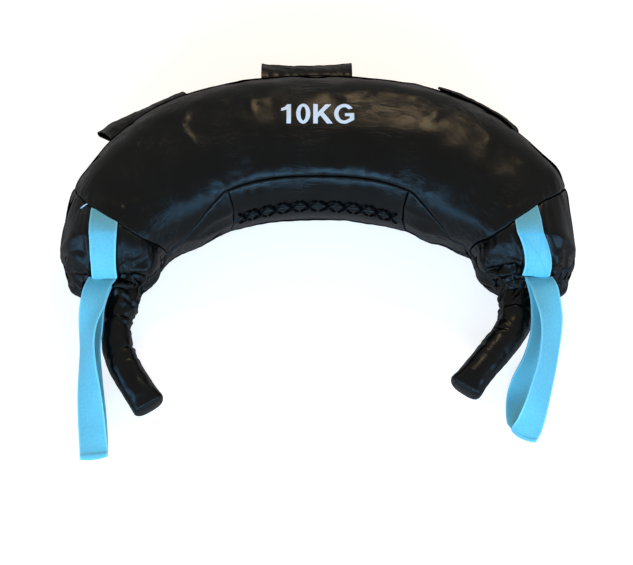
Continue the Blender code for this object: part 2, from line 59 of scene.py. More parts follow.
# The bag's surface
OUTER = {"end": 86.0, "half_width": 0.2778, "depth": 0.259, "centre_y": -0.0621, "power": 2.48}
INNER = {"end": 74.5, "half_width": 0.175, "depth": 0.085, "centre_y": -0.0561, "power": 2.15}
MIDDLE_HALF_HEIGHT = 0.070
END_HALF_HEIGHT = 0.0585
SECTION_POWER = 2.2
SETTLED = 0.95
CUP_POWER = 2.36
# how much the cups' sections are drawn in, at which angle most, and over how much of t
INNER_TUCK = 0.24
INNER_TUCK_PHI = 318
OUTER_TUCK = 0.06
OUTER_TUCK_PHI = 205
TUCK_REACH = 1.25
CUP_MOUTH = np.array((0.2195, -0.0611, 0.042))
CUP_MOUTH_RADIUS = 0.028
NECK = np.array((0.213, -0.0801, 0.041))
NECK_RADIUS = 0.0198
NECK_MOUTH = 3.0
PANEL_END = 2.4
# metres to a degree round the section, and to 1 of t: near the end seams, on a seam, as cut
PER_DEGREE = 0.0013
END_PER_T = 0.24
SEAM_PER_T = 0.27
CUT_PER_T = 0.28
# short ways along and round the surface, over which its slope is read
SHORT_T = 0.004
SHORT_PHI = 0.9

# Seams
GUSSET_HALF_ANGLE = 35.0
GUSSET_DIP = 4.2
GUSSET_CORNER = 0.42
GUSSET_FALL = 104.0
GUSSET_LOWEST = -2.0
GUSSET_FOOT_DROP = 13.0
CLOSURE_HALF = 0.40
CLOSURE_RISE = 3.2
CLOSURE_FALL = 7.6
SLIT_HALF_ANGLE = 0.25
END_SEAM = (0.8375, 0.1075, 0.0575)
# how much lower the end seams run in the photo: side, angle, reach and distance in t
SEAM_DRIFT = ((-1, 37, 35, 0.046), (1, 42, 20, 0.030), (1, 108, 27, -0.026))
LEATHER = 0.0011

# Camera: where the photograph was taken from
AIM = Vector((-0.0017, -0.0221, 0.0))
CAMERA_DISTANCE = 2.0
CAMERA_ELEVATION = 57.0
LENS = 103.0
SENSOR_WIDTH = 36.0


def mix(a, b, share):
    return a + (b - a) * share


def smooth(value, low, high):
    share = np.clip((value - low) / (high - low), 0.0, 1.0)
    return share * share * (3 - 2 * share)


def bump(value, middle, reach):
    return np.exp(-(((value - middle) / reach) ** 2))


def signed_power(value, power):
    return np.sign(value) * np.abs(value) ** power


def superellipse(share, line):
    a = np.radians(line["end"] * share)
    x = line["half_width"] * signed_power(np.sin(a), 2 / line["power"])
    y = line["centre_y"] + line["depth"] * signed_power(np.cos(a), 2 / line["power"])
    return np.stack([x, y, np.zeros_like(x)], -1)


def section(t):
    """Centres, half width vectors, half heights and powers of the sections at t, right half."""
    along = np.minimum(t, 1.0)
    outer = superellipse(along, OUTER)
    inner = superellipse(along, INNER)
    height = MIDDLE_HALF_HEIGHT + (END_HALF_HEIGHT - MIDDLE_HALF_HEIGHT) * along**2
    centre = (outer + inner) / 2
    centre[..., 2] = SETTLED * height
    half = (outer - inner) / 2
    turn = pi / 2 * np.clip(t - 1, 0, 1)
    onward = np.sin(turn) ** (2 / CUP_POWER)
    closing = 1 - np.maximum(np.cos(turn), 0.0) ** (2 / CUP_POWER)
    mouth_half = np.array((CUP_MOUTH_RADIUS, 0, 0))
    centre = centre + (CUP_MOUTH - centre) * onward[..., None]
    half = half + (mouth_half - half) * closing[..., None]
    height = height + (CUP_MOUTH_RADIUS - height) * closing
    power = SECTION_POWER + (2 - SECTION_POWER) * closing
    past = np.clip(t - 2, 0, 1)
    neck_height = NECK_RADIUS + (CUP_MOUTH_RADIUS - NECK_RADIUS) * (1 - past) ** 2
    in_neck = t > 2
    centre = np.where(in_neck[..., None], CUP_MOUTH + (NECK - CUP_MOUTH) * past[..., None], centre)
    height = np.where(in_neck, neck_height, height)
    neck_half = neck_height[..., None] * np.array((1.0, 0, 0))
    half = np.where(in_neck[..., None], neck_half, half)
    return centre, half, height, power


def plain_skin(t, phi):
    """Points on the bag's surface, without its folds."""
    centre, half, height, power = section(np.abs(t))
    a = np.radians(phi)
    inner = INNER_TUCK * np.maximum(0.0, np.cos(np.radians(phi - INNER_TUCK_PHI))) ** 2
    outer = OUTER_TUCK * np.maximum(0.0, np.cos(np.radians(phi - OUTER_TUCK_PHI))) ** 2
    in_cup = np.sin(pi * np.clip((np.abs(t) - 1) / TUCK_REACH, 0, 1)) ** 2
    tucked = 1 - (inner + outer) * in_cup
    point = centre - half * (signed_power(np.cos(a), 2 / power) * tucked)[..., None]
    rise = height * signed_power(np.sin(a), 2 / power) * tucked
    point[..., 2] = np.maximum(0, centre[..., 2] + rise)
    point[..., 0] *= np.where(t < 0, -1.0, 1.0)
    return point


def outward(t, phi):
    """Unit normals of the bag's surface."""
    along = plain_skin(t + SHORT_T, phi) - plain_skin(t - SHORT_T, phi)
    round_it = plain_skin(t, phi + SHORT_PHI) - plain_skin(t, phi - SHORT_PHI)
    normal = np.cross(along, round_it)
    return normal / np.maximum(np.linalg.norm(normal, axis=-1, keepdims=True), 1e-12)


def gusset_angle(t):
    """The seam above the gusset: level along the lacing, and from its corner straight down."""
    far = np.abs(t)
    level = GUSSET_HALF_ANGLE - GUSSET_DIP * np.minimum(far / GUSSET_CORNER, 1) ** 3
    return np.maximum(level - GUSSET_FALL * np.maximum(0.0, far - GUSSET_CORNER), GUSSET_LOWEST)


def gusset_foot(t):
    """The seam underneath the gusset, out of sight to the very end of the hollow."""
    return GUSSET_HALF_ANGLE - GUSSET_FOOT_DROP * smooth(np.abs(t), 0.5, 0.9)


def closure_line(t):
    return CLOSURE_RISE - CLOSURE_FALL * (t / CLOSURE_HALF) ** 2


def end_seam(phi, side):
    """How far along the seam of the end cup runs, on the left (-1) or the right (1)."""
    turned = np.abs((phi + 180) % 360 - 180)
    a = np.radians(turned)
    far = END_SEAM[0] + END_SEAM[1] * np.sin(a) + END_SEAM[2] * np.cos(a)
    for where, middle, reach, size in SEAM_DRIFT:
        far = far + (side == where) * size * bump(turned, middle, reach)
    return far


def ripple(place, seed):
    """Smooth, repeatable unevenness, about -1 to 1, at each place on a line."""
    flat = np.ravel(place)
    values = [noise.fractal((x, seed, 0.5 * seed), 1.0, 2.0, 2) for x in flat]
    return np.reshape(values, np.shape(place))


def lumps(points, size, seed):
    """Smooth unevenness of that size at each point in space."""
    flat = points.reshape(-1, 3) / size
    values = [noise.noise((x + seed, y - seed, z + 2 * seed)) for x, y, z in flat]
    return np.reshape(values, points.shape[:-1])


def select_only(obj):
    bpy.ops.object.select_all(action="DESELECT")
    obj.select_set(True)
    bpy.context.view_layer.objects.active = obj


# Materials. Patterns to the metre on leather: pebbles 1.1 mm across, a little coarser than the
# real 0.7 mm so that they show, pores, patches of tone, and creases across and along the cut
PEBBLES = 900.0
PORES = 1500.0
PATCHES = 22.0
CREASES = (120.0, 24.0, 1.0)
# the webbing's weave repeats over this much of its width and its length
WEAVE_ACROSS = 0.0013
WEAVE_ALONG = 0.0018
# its selvage is the outer 1.6 mm on either side of the 29 mm tape, with a soft edge
SELVAGE = (0.0124, 0.0134)
# loose fibres and dull patches on the tape, to the metre
TAPE_FUZZ = 420.0
TAPE_SOIL = 26.0
# broad changes of tone in cloths and fillings, to the metre
BROAD_TONES = 14.0


def paint(code):
    """An sRGB hex colour as linear light."""
    channels = [int(code[k : k + 2], 16) / 255 for k in (1, 3, 5)]
    linear = [c / 12.92 if c <= 0.04045 else ((c + 0.055) / 1.055) ** 2.4 for c in channels]
    return (*linear, 1.0)


def wire(tree, node, sockets):
    """Gives each socket its value, or a link from another node's output."""
    for name, value in sockets.items():
        if isinstance(value, bpy.types.NodeSocket):
            tree.links.new(value, node.inputs[name])
        else:
            node.inputs[name].default_value = value


def add_node(tree, kind, sockets=None, ramp=None, **settings):
    """A node with its settings, its sockets and the marks of its colour ramp."""
    node = tree.nodes.new("ShaderNode" + kind)
    for name, value in settings.items():
        setattr(node, name, value)
    wire(tree, node, sockets or {})
    if ramp:
        marks = node.color_ramp.elements
        while len(marks) < len(ramp):
            marks.new(0.5)
        for mark, (position, colour) in zip(marks, ramp):
            mark.position = position
            mark.color = colour
    return node


def new_finish(name):
    """An empty material with its shader, ready for its nodes."""
    finish = bpy.data.materials.new(name)
    finish.use_nodes = True
    tree = finish.node_tree
    return finish, tree, tree.nodes["Principled BSDF"]


def grey(level):
    return (level, level, level, 1.0)


def artificial_leather():
    """Polyurethane-coated cloth, embossed with a fine pebble: near black, soft satin gloss."""
    finish, tree, shader = new_finish("artificial leather")
    place = add_node(tree, "TexCoord").outputs["Object"]
    along = add_node(tree, "UVMap", uv_map="cut").outputs["UV"]
    patches = add_node(tree, "TexNoise", {"Vector": place, "Scale": PATCHES, "Detail": 3.0})
    pebble = add_node(tree, "TexVoronoi", {"Vector": place, "Scale": PEBBLES}, feature="SMOOTH_F1")
    pores = add_node(tree, "TexNoise", {"Vector": place, "Scale": PORES, "Detail": 2.0})
    stretched = add_node(tree, "Mapping", {"Vector": along, "Scale": CREASES}).outputs["Vector"]
    strain = add_node(
        tree, "TexNoise", {"Vector": stretched, "Scale": 1.0, "Detail": 4.0, "Distortion": 1.6}
    )
    creases = add_node(
        tree, "ValToRGB", {"Fac": strain.outputs["Fac"]},
        ramp=[(0.44, grey(0.0)), (0.5, grey(1.0)), (0.56, grey(0.0))],
    )
    where = add_node(
        tree, "MapRange", {"Value": patches.outputs["Fac"], "From Min": 0.42, "From Max": 0.66}
    )
    crease_height = add_node(
        tree, "Math", {0: creases.outputs["Color"], 1: where.outputs["Result"]},
        operation="MULTIPLY",
    )
    # the paler leather along the rolled seam edges and the grips' crests and ends is partly rubbed
    # wear and partly painted highlight on those ridges
    wear_and_highlight = add_node(tree, "Attribute", attribute_name="wear_and_highlight")
    tone = add_node(
        tree, "ValToRGB", {"Fac": patches.outputs["Fac"]},
        ramp=[(0.35, paint("#020202")), (0.7, paint("#060605"))],
    )
    rubbed_and_highlit = add_node(
        tree, "Mix",
        {"Factor": wear_and_highlight.outputs["Fac"], 6: tone.outputs["Color"], 7: paint("#1D1C1A")},
        data_type="RGBA",
    )
    gloss = add_node(
        tree, "MapRange",
        {
            "Value": patches.outputs["Fac"],
            "From Min": 0.3, "From Max": 0.7, "To Min": 0.20, "To Max": 0.28,
        },
    )
    fold_bump = add_node(
        tree, "Bump",
        {"Height": crease_height.outputs["Value"], "Strength": 0.34, "Distance": 0.0006},
    )
    pebble_bump = add_node(
        tree, "Bump",
        {
            "Height": pebble.outputs["Distance"], "Normal": fold_bump.outputs["Normal"],
            "Strength": 0.5, "Distance": 0.0002,
        },
    )
    pore_bump = add_node(
        tree, "Bump",
        {
            "Height": pores.outputs["Fac"], "Normal": pebble_bump.outputs["Normal"],
            "Strength": 0.35, "Distance": 0.0002,
        },
    )
    # shinier where it is seen straight on than at the rim
    rim = add_node(tree, "LayerWeight", {"Blend": 0.5})
    sheen = add_node(
        tree, "MapRange",
        {
            "Value": rim.outputs["Facing"],
            "From Min": 0.2, "From Max": 0.80, "To Min": 0.112, "To Max": 0.0,
        },
    )
    # the even level that stands in where the link can't be kept
    shader.inputs["Specular IOR Level"].default_value = 0.1
    wire(
        tree, shader,
        {
            "Specular IOR Level": sheen.outputs["Result"],
            "Base Color": rubbed_and_highlit.outputs[2],
            "Roughness": gloss.outputs["Result"],
            "Normal": pore_bump.outputs["Normal"],
            "IOR": 1.5,
            "Specular Tint": paint("#FFFDF3"),
        },
    )
    return finish


def polypropylene_webbing():
    """Woven polypropylene tape: sky blue, fine ribs along it, denser and paler selvages."""
    finish, tree, shader = new_finish("polypropylene webbing")
    tape = add_node(tree, "UVMap", uv_map="cut").outputs["UV"]
    parts = add_node(tree, "SeparateXYZ", {"Vector": tape})
    waves = []
    for axis, repeat in (("X", WEAVE_ACROSS), ("Y", WEAVE_ALONG)):
        turn = add_node(
            tree, "Math", {0: parts.outputs[axis], 1: 2 * pi / repeat}, operation="MULTIPLY"
        )
        waves.append(add_node(tree, "Math", {0: turn.outputs["Value"]}, operation="SINE"))
    warp, weft = waves
    weave = add_node(
        tree, "Math", {0: warp.outputs["Value"], 1: weft.outputs["Value"]}, operation="MULTIPLY"
    )
    off_middle = add_node(tree, "Math", {0: parts.outputs["X"]}, operation="ABSOLUTE")
    selvage = add_node(
        tree, "MapRange",
        {"Value": off_middle.outputs["Value"], "From Min": SELVAGE[0], "From Max": SELVAGE[1]},
    )
    fuzz = add_node(tree, "TexNoise", {"Vector": tape, "Scale": TAPE_FUZZ, "Detail": 4.0})
    soil = add_node(tree, "TexNoise", {"Vector": tape, "Scale": TAPE_SOIL, "Detail": 3.0})
    body = add_node(
        tree, "ValToRGB", {"Fac": soil.outputs["Fac"]},
        ramp=[(0.3, paint("#6EACAA")), (0.7, paint("#78B5B2"))],
    )
    threads = add_node(
        tree, "ValToRGB", {"Fac": fuzz.outputs["Fac"]},
        ramp=[(0.3, grey(0.86)), (0.65, grey(1.0))],
    )
    toned = add_node(
        tree, "Mix", {0: 1.0, 6: body.outputs["Color"], 7: threads.outputs["Color"]},
        data_type="RGBA", blend_type="MULTIPLY",
    )
    edged = add_node(
        tree, "Mix",
        {"Factor": selvage.outputs["Result"], 6: toned.outputs[2], 7: paint("#8AC2BF")},
        data_type="RGBA",
    )
    ribs = add_node(
        tree, "Bump", {"Height": weave.outputs["Value"], "Strength": 0.55, "Distance": 0.00018}
    )
    hairs = add_node(
        tree, "Bump",
        {
            "Height": fuzz.outputs["Fac"], "Normal": ribs.outputs["Normal"],
            "Strength": 0.3, "Distance": 0.0003,
        },
    )
    wire(
        tree, shader,
        {
            "Base Color": edged.outputs[2],
            "Normal": hairs.outputs["Normal"],
            "Roughness": 0.62,
            "IOR": 1.49,
            "Sheen Weight": 0.15,
            "Sheen Roughness": 0.4,
        },
    )
    return finish


def spun(name, code_dark, code_light, size, roughness, depth, shine=0.5):
    """A cloth or a filling: two tones at the size of its threads or grains, and their relief."""
    finish, tree, shader = new_finish(name)
    place = add_node(tree, "TexCoord").outputs["Object"]
    grain = add_node(tree, "TexNoise", {"Vector": place, "Scale": 1 / size, "Detail": 5.0})
    broad = add_node(tree, "TexNoise", {"Vector": place, "Scale": BROAD_TONES, "Detail": 2.0})
    both = add_node(
        tree, "Mix", {0: 0.35, 2: grain.outputs["Fac"], 3: broad.outputs["Fac"]}, data_type="FLOAT"
    )
    tone = add_node(
        tree, "ValToRGB", {"Fac": both.outputs[0]},
        ramp=[(0.35, paint(code_dark)), (0.65, paint(code_light))],
    )
    relief = add_node(
        tree, "Bump", {"Height": grain.outputs["Fac"], "Strength": 0.6, "Distance": depth}
    )
    wire(
        tree, shader,
        {
            "Base Color": tone.outputs["Color"],
            "Normal": relief.outputs["Normal"],
            "Roughness": roughness,
            "Specular IOR Level": shine,
        },
    )
    return finish


leather = artificial_leather()
webbing = polypropylene_webbing()
# Cords, cloths and fillings: two tones, the size of the threads or grains, roughness, depth of
# the relief, and the shine of the dullest. Lacing of braided polyester, waxed: black, dull shine
lace = spun("waxed lacing cord", "#020202", "#070708", 0.0006, 0.5, 0.0003, 0.03)
# plain-woven cotton, unbleached: a matt, uneven buff; and the same cloth in a dull black, painted
# shade for the lacing's slit
canvas = spun("cotton canvas", "#8F8874", "#B4AC95", 0.0007, 0.9, 0.0002)
slit_shade_canvas = spun("black canvas as painted slit shade", "#070708", "#121213", 0.0007, 0.85, 0.0002, 0.1)
# carded wool in soft lumps, washed and sieved sand, and pressed wool felt, all of them matt
wadding = spun("wool wadding", "#8F8A80", "#B0AA9E", 0.003, 0.95, 0.001)
sand = spun("dry sand", "#A98F62", "#D0B98C", 0.0009, 0.95, 0.0004)
felt = spun("rolled felt", "#6E6B64", "#8C8880", 0.002, 0.95, 0.0006)
# thick ink pressed through a screen: opaque, smooth and slightly glossy
ink = spun("white screen print", "#E4DDD6", "#EEE8E2", 0.004, 0.45, 0.0001)
# twisted polyester thread: clear colours, with a fine sheen
blue_thread = spun("blue sewing thread", "#3FA9DE", "#6CC8EF", 0.0004, 0.5, 0.0001)
# the white one also paints a small glint on the leather where it lies
white_thread_glint = spun("white thread and painted glint", "#DAD9D3", "#F0EFEA", 0.0004, 0.6, 0.0001)

# Camera, floor and light
FLOOR_SIZE = 9.0
FLOOR_DROP = 0.0004
FLOOR_GLOW = 0.74
ROOM_LIGHT = 0.23
# name, azimuth from the front, elevation, distance, width, height, watts, colour
LAMPS = (
    ("front_softbox", 0, 31, 1.9, 1.5, 0.25, 40, "#7DC3FF"),
    ("left_softbox", -47, 14, 1.9, 1.9, 0.62, 38, "#7DC3FF"),
    ("right_softbox", 47, 14, 1.9, 1.9, 0.62, 38, "#7DC3FF"),
    ("back_softbox", 168, 49, 1.7, 0.27, 0.24, 7.5, "#FFE0B4"),
)


def seen_directly(tree):
    """1 for the rays that show the backdrop: from the camera, off gloss and through glass."""
    path = add_node(tree, "LightPath").outputs
    seen = path["Is Camera Ray"]
    for other in ("Is Glossy Ray", "Is Transmission Ray"):
        both = add_node(tree, "Math", {0: seen, 1: path[other]}, operation="MAXIMUM")
        seen = both.outputs["Value"]
    return seen


def make_camera():
    tilt = radians(CAMERA_ELEVATION)
    eye = AIM + Vector((0, -cos(tilt), sin(tilt))) * CAMERA_DISTANCE
    bpy.ops.object.camera_add(location=eye, rotation=(pi / 2 - tilt, 0, 0))
    scene.camera = bpy.context.object
    scene.camera.data.lens = LENS
    scene.camera.data.sensor_width = SENSOR_WIDTH


def make_floor():
    bpy.ops.mesh.primitive_plane_add(size=FLOOR_SIZE, location=(0, 0, -FLOOR_DROP))
    floor = bpy.context.object
    floor.name = "studio_floor"
    paper, tree, shader = new_finish("white studio paper")
    wire(tree, shader, {"Base Color": paint("#D8C6BB"), "Roughness": 0.9})
    lit = shader.outputs["BSDF"]
    white = add_node(tree, "Emission", {"Color": paint("#FFFCF8"), "Strength": FLOOR_GLOW})
    seen = add_node(tree, "AddShader", {0: lit, 1: white.outputs["Emission"]})
    blended = add_node(
        tree, "MixShader", {0: seen_directly(tree), 1: lit, 2: seen.outputs["Shader"]}
    )
    wire(tree, tree.nodes["Material Output"], {"Surface": blended.outputs["Shader"]})
    floor.data.materials.append(paper)


def make_light():
    world = bpy.data.worlds.new("studio")
    scene.world = world
    world.use_nodes = True
    tree = world.node_tree
    level = add_node(
        tree, "MapRange", {"Value": seen_directly(tree), "To Min": ROOM_LIGHT, "To Max": 1.0}
    )
    backdrop = {"Color": grey(1.0), "Strength": level.outputs["Result"]}
    wire(tree, tree.nodes["Background"], backdrop)
    for name, azimuth, elevation, distance, width, height, watts, colour in LAMPS:
        a = radians(azimuth)
        e = radians(elevation)
        way = Vector((sin(a) * cos(e), -cos(a) * cos(e), sin(e)))
        bpy.ops.object.light_add(type="AREA", location=way * distance)
        lamp = bpy.context.object
        lamp.name = name
        lamp.rotation_euler = way.to_track_quat("Z", "Y").to_euler()
        lamp.data.shape = "RECTANGLE"
        lamp.data.size = width
        lamp.data.size_y = height
        lamp.data.energy = watts
        lamp.data.color = paint(colour)[:3]
    scene.view_settings.view_transform = "Standard"


make_camera()
make_floor()
make_light()

# The cover's settling: a cloth simulation of the whole cover, whose folds are kept
COLUMNS = 112
HELD_FROM = 2.7
SEAM_PULL_REACH = 0.006
FRAMES = 20
CLOTH = {
    "quality": 6,
    "mass": 0.3,
    "tension_stiffness": 15,
    "compression_stiffness": 15,
    "shear_stiffness": 6,
    "bending_stiffness": 0.08,
    "vertex_group_mass": "held",
    "vertex_group_shrink": "drawn_in",
    "shrink_min": -0.14,
    "shrink_max": 0.07,
    "use_pressure": True,
    "uniform_pressure_force": 4.0,
}
# folds are kept up to this depth on the body, and this much more in the gathered cups
BODY_FOLDS = 0.0010
CUP_FOLDS = 0.0038
# what is broader than this many rows or columns each way is swelling and not a fold
SWELLING_REACH = 4


def row_places():
    """The simulated rows' places along the bag, close enough for folds of 9 mm."""
    body = np.linspace(0, 1, 63)
    cup = np.linspace(1, 2, 21)[1:]
    neck = np.linspace(2, NECK_MOUTH, 6)[1:]
    half = np.concatenate([body, cup, neck])
    return np.concatenate([-half[:0:-1], half])


ROW_T = row_places()


def drawn_in(t, phi):
    """0 where there is spare leather, as in the gathered cups, and 1 along a seam."""
    near_end = bump(np.abs(t), end_seam(phi, np.sign(t)), SEAM_PULL_REACH / END_PER_T)
    away = np.minimum(np.abs(phi - gusset_angle(t)), np.abs(360 - phi - gusset_foot(t)))
    near_gusset = bump(away * PER_DEGREE, 0.0, SEAM_PULL_REACH) * (np.abs(t) < 0.9)
    near_rim = bump(np.abs(phi - 180) * PER_DEGREE, 0.0, SEAM_PULL_REACH)
    seams = np.maximum(np.maximum(near_end, near_gusset), near_rim)
    spare = smooth(np.abs(t), 1.15, 1.75)
    return np.clip(0.55 + 0.45 * seams - 0.55 * spare, 0, 1)


def settle_cover():
    """How far each point of the cover moves as the filling presses out and its seams draw in."""
    t, phi = np.meshgrid(ROW_T, np.arange(COLUMNS) * 360 / COLUMNS, indexing="ij")
    rest = plain_skin(t, phi)
    faces = []
    for i in range(len(ROW_T) - 1):
        row = i * COLUMNS
        ahead = row + COLUMNS
        for j in range(COLUMNS):
            k = (j + 1) % COLUMNS
            faces.append((row + j, row + k, ahead + k, ahead + j))
    mesh = bpy.data.meshes.new("cover_cloth")
    mesh.from_pydata(rest.reshape(-1, 3).tolist(), [], faces)
    cover = bpy.data.objects.new("cover_cloth", mesh)
    scene.collection.objects.link(cover)
    select_only(cover)

    held = cover.vertex_groups.new(name="held")
    held.add([n for n, at in enumerate(t.flat) if abs(at) > HELD_FROM], 1.0, "REPLACE")
    group = cover.vertex_groups.new(name="drawn_in")
    for n, weight in enumerate(drawn_in(t, phi).flat):
        group.add([n], float(weight), "REPLACE")
    cloth = cover.modifiers.new("settling", "CLOTH")
    for name, value in CLOTH.items():
        setattr(cloth.settings, name, value)
    cloth.settings.effector_weights.gravity = 0.0
    cloth.collision_settings.use_collision = False
    for step in range(1, FRAMES + 1):
        scene.frame_set(step)
    settled_cover = cover.evaluated_get(bpy.context.evaluated_depsgraph_get())
    moved = np.zeros(rest.size, np.float32)
    settled_cover.data.vertices.foreach_get("co", moved)
    scene.frame_set(1)
    bpy.data.objects.remove(cover, do_unlink=True)
    return moved.reshape(rest.shape).astype(float) - rest


def running_mean(field, reach):
    """Means over each row and that many more before and after it."""
    total = np.cumsum(np.concatenate([np.zeros_like(field[:1]), field]), axis=0)
    return (total[2 * reach + 1 :] - total[: -2 * reach - 1]) / (2 * reach + 1)


def blurred(field, reach):
    """The field averaged over that many rows and columns each way, three times over."""
    for _ in range(3):
        field = np.swapaxes(field, 0, 1)
        field = running_mean(np.concatenate([field[-reach:], field, field[:reach]]), reach)
        field = np.swapaxes(field, 0, 1)
        first = [field[:1]] * reach
        last = [field[-1:]] * reach
        field = running_mean(np.concatenate([*first, field, *last]), reach)
    return field


def folds_only(moved):
    """The folds and puckers alone: the broad swelling is taken out, and the rest is capped."""
    t, _ = np.meshgrid(ROW_T, np.arange(COLUMNS), indexing="ij")
    fine = moved - blurred(moved, SWELLING_REACH)
    size = np.linalg.norm(fine, axis=-1, keepdims=True)
    most = (BODY_FOLDS + CUP_FOLDS * smooth(np.abs(t), 1.1, 1.6))[..., None]
    return fine * most * np.tanh(size / most) / np.maximum(size, 1e-9)


FOLDS = folds_only(settle_cover())


def spline_weights(u):
    """How much each of four neighbours counts at a place that far between the middle two."""
    return [
        (1 - u) ** 3 / 6,
        (3 * u**3 - 6 * u**2 + 4) / 6,
        (-3 * u**3 + 3 * u**2 + 3 * u + 1) / 6,
        u**3 / 6,
    ]


def folds_at(t, phi):
    """The cover's folds at any place, read smoothly between the simulated points."""
    row = np.interp(t, ROW_T, np.arange(len(ROW_T)))
    column = (phi % 360) / 360 * COLUMNS
    i0 = np.floor(row).astype(int)
    j0 = np.floor(column).astype(int)
    found = np.zeros((*np.shape(t), 3))
    for a, weight_a in enumerate(spline_weights(row - i0)):
        i = np.clip(i0 + a - 1, 0, len(ROW_T) - 1)
        for b, weight_b in enumerate(spline_weights(column - j0)):
            found += (weight_a * weight_b)[..., None] * FOLDS[i, (j0 + b - 1) % COLUMNS]
    return found


# Straps in plan, for the leather under them
STRAP_X = {"left": -0.2275, "right": 0.231}
# inner and outer edge of the sewn-down strap at its top, middle and foot
STRAP_EDGES = {
    "left": ((0.2126, 0.2386), (0.2137, 0.2369), (0.2138, 0.2376)),
    "right": ((0.2072, 0.2323), (0.2165, 0.2441), (0.2157, 0.2434)),
}
STRAP_TOP_T = 0.93
STRAP_FOOT_T = {"left": 1.906, "right": 1.893}
WEBBING_WIDTH = 0.029
WEBBING = 0.0014

# Gathers round each neck
PLEAT_COUNT = 19
PLEAT_HALF_ANGLE = 5.5
PLEAT_DEPTH = 0.0036
rng = np.random.default_rng(7)


def draw_pleats():
    """Each gather's angle, its share of the full depth, and how much it is skewed."""
    pleats = []
    for k in range(PLEAT_COUNT):
        angle = float(rng.uniform(-6, 6)) + 360 * k / PLEAT_COUNT
        share = float(rng.uniform(0.45, 1.0))
        skew = float(rng.uniform(-14, 14))
        pleats.append((angle, share, skew))
    return pleats


PLEATS = {sign: draw_pleats() for sign in (-1, 1)}


def pleat_depth(t, phi):
    """The gathers where the cup is drawn in to the neck: narrow furrows that run out of it."""
    depth = np.zeros(np.shape(t))
    reach = bump(np.abs(t), 1.97, 0.30)
    for sign, pleats in PLEATS.items():
        here = np.where(np.sign(t) == sign, 1.0, 0.0)
        for angle, share, skew in pleats:
            off = (phi - angle - skew * (np.abs(t) - 1.9) + 180) % 360 - 180
            depth += here * share * reach * bump(off, 0.0, PLEAT_HALF_ANGLE)
    return depth


def strap_line(side, u, v):
    """How far from the middle a place on the sewn-down strap is: u down it, v across, 0 to 1."""
    top, middle, foot = (mix(*edges, v) for edges in STRAP_EDGES[side])
    return top * (1 - u) * (1 - 2 * u) + 4 * middle * u * (1 - u) + foot * u * (2 * u - 1)


def under_strap(t, phi, points):
    """Under a sewn-down strap the leather is held flat (1, not 0), and it stands up beside it."""
    flat = np.zeros(np.shape(t))
    beside = np.zeros(np.shape(t))
    for side, sign in SIDES.items():
        down = (np.abs(t) - STRAP_TOP_T) / (STRAP_FOOT_T[side] - STRAP_TOP_T)
        share = np.clip(down, 0, 1)
        inner = strap_line(side, share, 0.0)
        outer = strap_line(side, share, 1.0)
        off = np.abs(np.abs(points[..., 0]) - (inner + outer) / 2) - (outer - inner) / 2
        along = smooth(np.abs(t), 0.86, 0.9) * (1 - smooth(np.abs(t), 1.93, 2.0))
        along = along * ((phi % 360 < 178) & (np.sign(t) == sign))
        flat = np.maximum(flat, (1 - smooth(off, 0.0012, 0.0080)) * along)
        beside += along * (0.0016 * bump(off, 0.0052, 0.0028) - 0.0012 * bump(off, 0.0012, 0.0014))
    return flat, beside


# How the filling has settled: at t and phi, over a reach in each, by a height
SETTLING = (
    (0.785, 160, 0.115, 50, 0.0100),
    (-0.82, 160, 0.080, 50, 0.0045),
    (1.18, 165, 0.150, 45, -0.0042),
    (-1.18, 165, 0.150, 45, -0.0036),
    (0.0, -25, 0.300, 26, -0.0036),
    (0.52, -25, 0.080, 30, 0.0044),
    (-0.61, -25, 0.120, 30, 0.0052),
    (0.84, -25, 0.080, 34, -0.0052),
    (1.50, -28, 0.300, 36, -0.0085),
    (1.88, -8, 0.200, 44, -0.0058),
    (-1.50, -28, 0.300, 36, -0.0045),
)

# The deep fold that runs across each cup at the foot of the strap, level as the photograph
# shows it: how much y and z count towards up there, how high it runs on the left (-1) and the
# right (1), how deep it is, and how far the leather swells out on both sides of it
SEEN_UP = (0.8387, 0.5446)
FOLD_LINE = {-1: -0.0137, 1: -0.0056}
FOLD_DEPTH = 0.0056
FOLD_SWELLING = 0.0018


def settled(t, phi, base, free):
    """How far the leather stands off the plain shape, as the filling lies."""
    turned = (phi + 90) % 360 - 90
    height = np.zeros(np.shape(t))
    for at, round_at, reach, round_reach, size in SETTLING:
        height += size * bump(t, at, reach) * bump(turned, round_at, round_reach)
    seen = SEEN_UP[0] * base[..., 1] + SEEN_UP[1] * base[..., 2]
    for sign, line in FOLD_LINE.items():
        below = seen - line + 0.0026 * ripple(phi / 26.0, 3.0 + sign)
        here = (np.sign(t) == sign) * smooth(np.abs(t), 1.3, 1.6) * (phi % 360 < 180) * free
        here = here * (1 - 0.8 * smooth(np.abs(phi % 360 - 84), 34, 72))
        furrow = FOLD_DEPTH * bump(below, 0.0, 0.0032)
        height += here * (FOLD_SWELLING * bump(below, 0.0062, 0.0040) - furrow)
        height += here * FOLD_SWELLING * bump(below, -0.0075, 0.0050)
    return height


# What else lies in the leather: how much of its folds a lip keeps, soft lumps by size, height and
# seed, and the furrow and the cuff round the neck
LIP_FREEDOM = 0.45
LUMPS = ((0.05, 0.0010, 3.0), (0.021, 0.0007, 9.0))
GROOVE = {"t": 1.96, "reach": 0.045, "depth": 0.0030}
CUFF = {"t": 2.25, "reach": 0.16, "height": 0.0012}


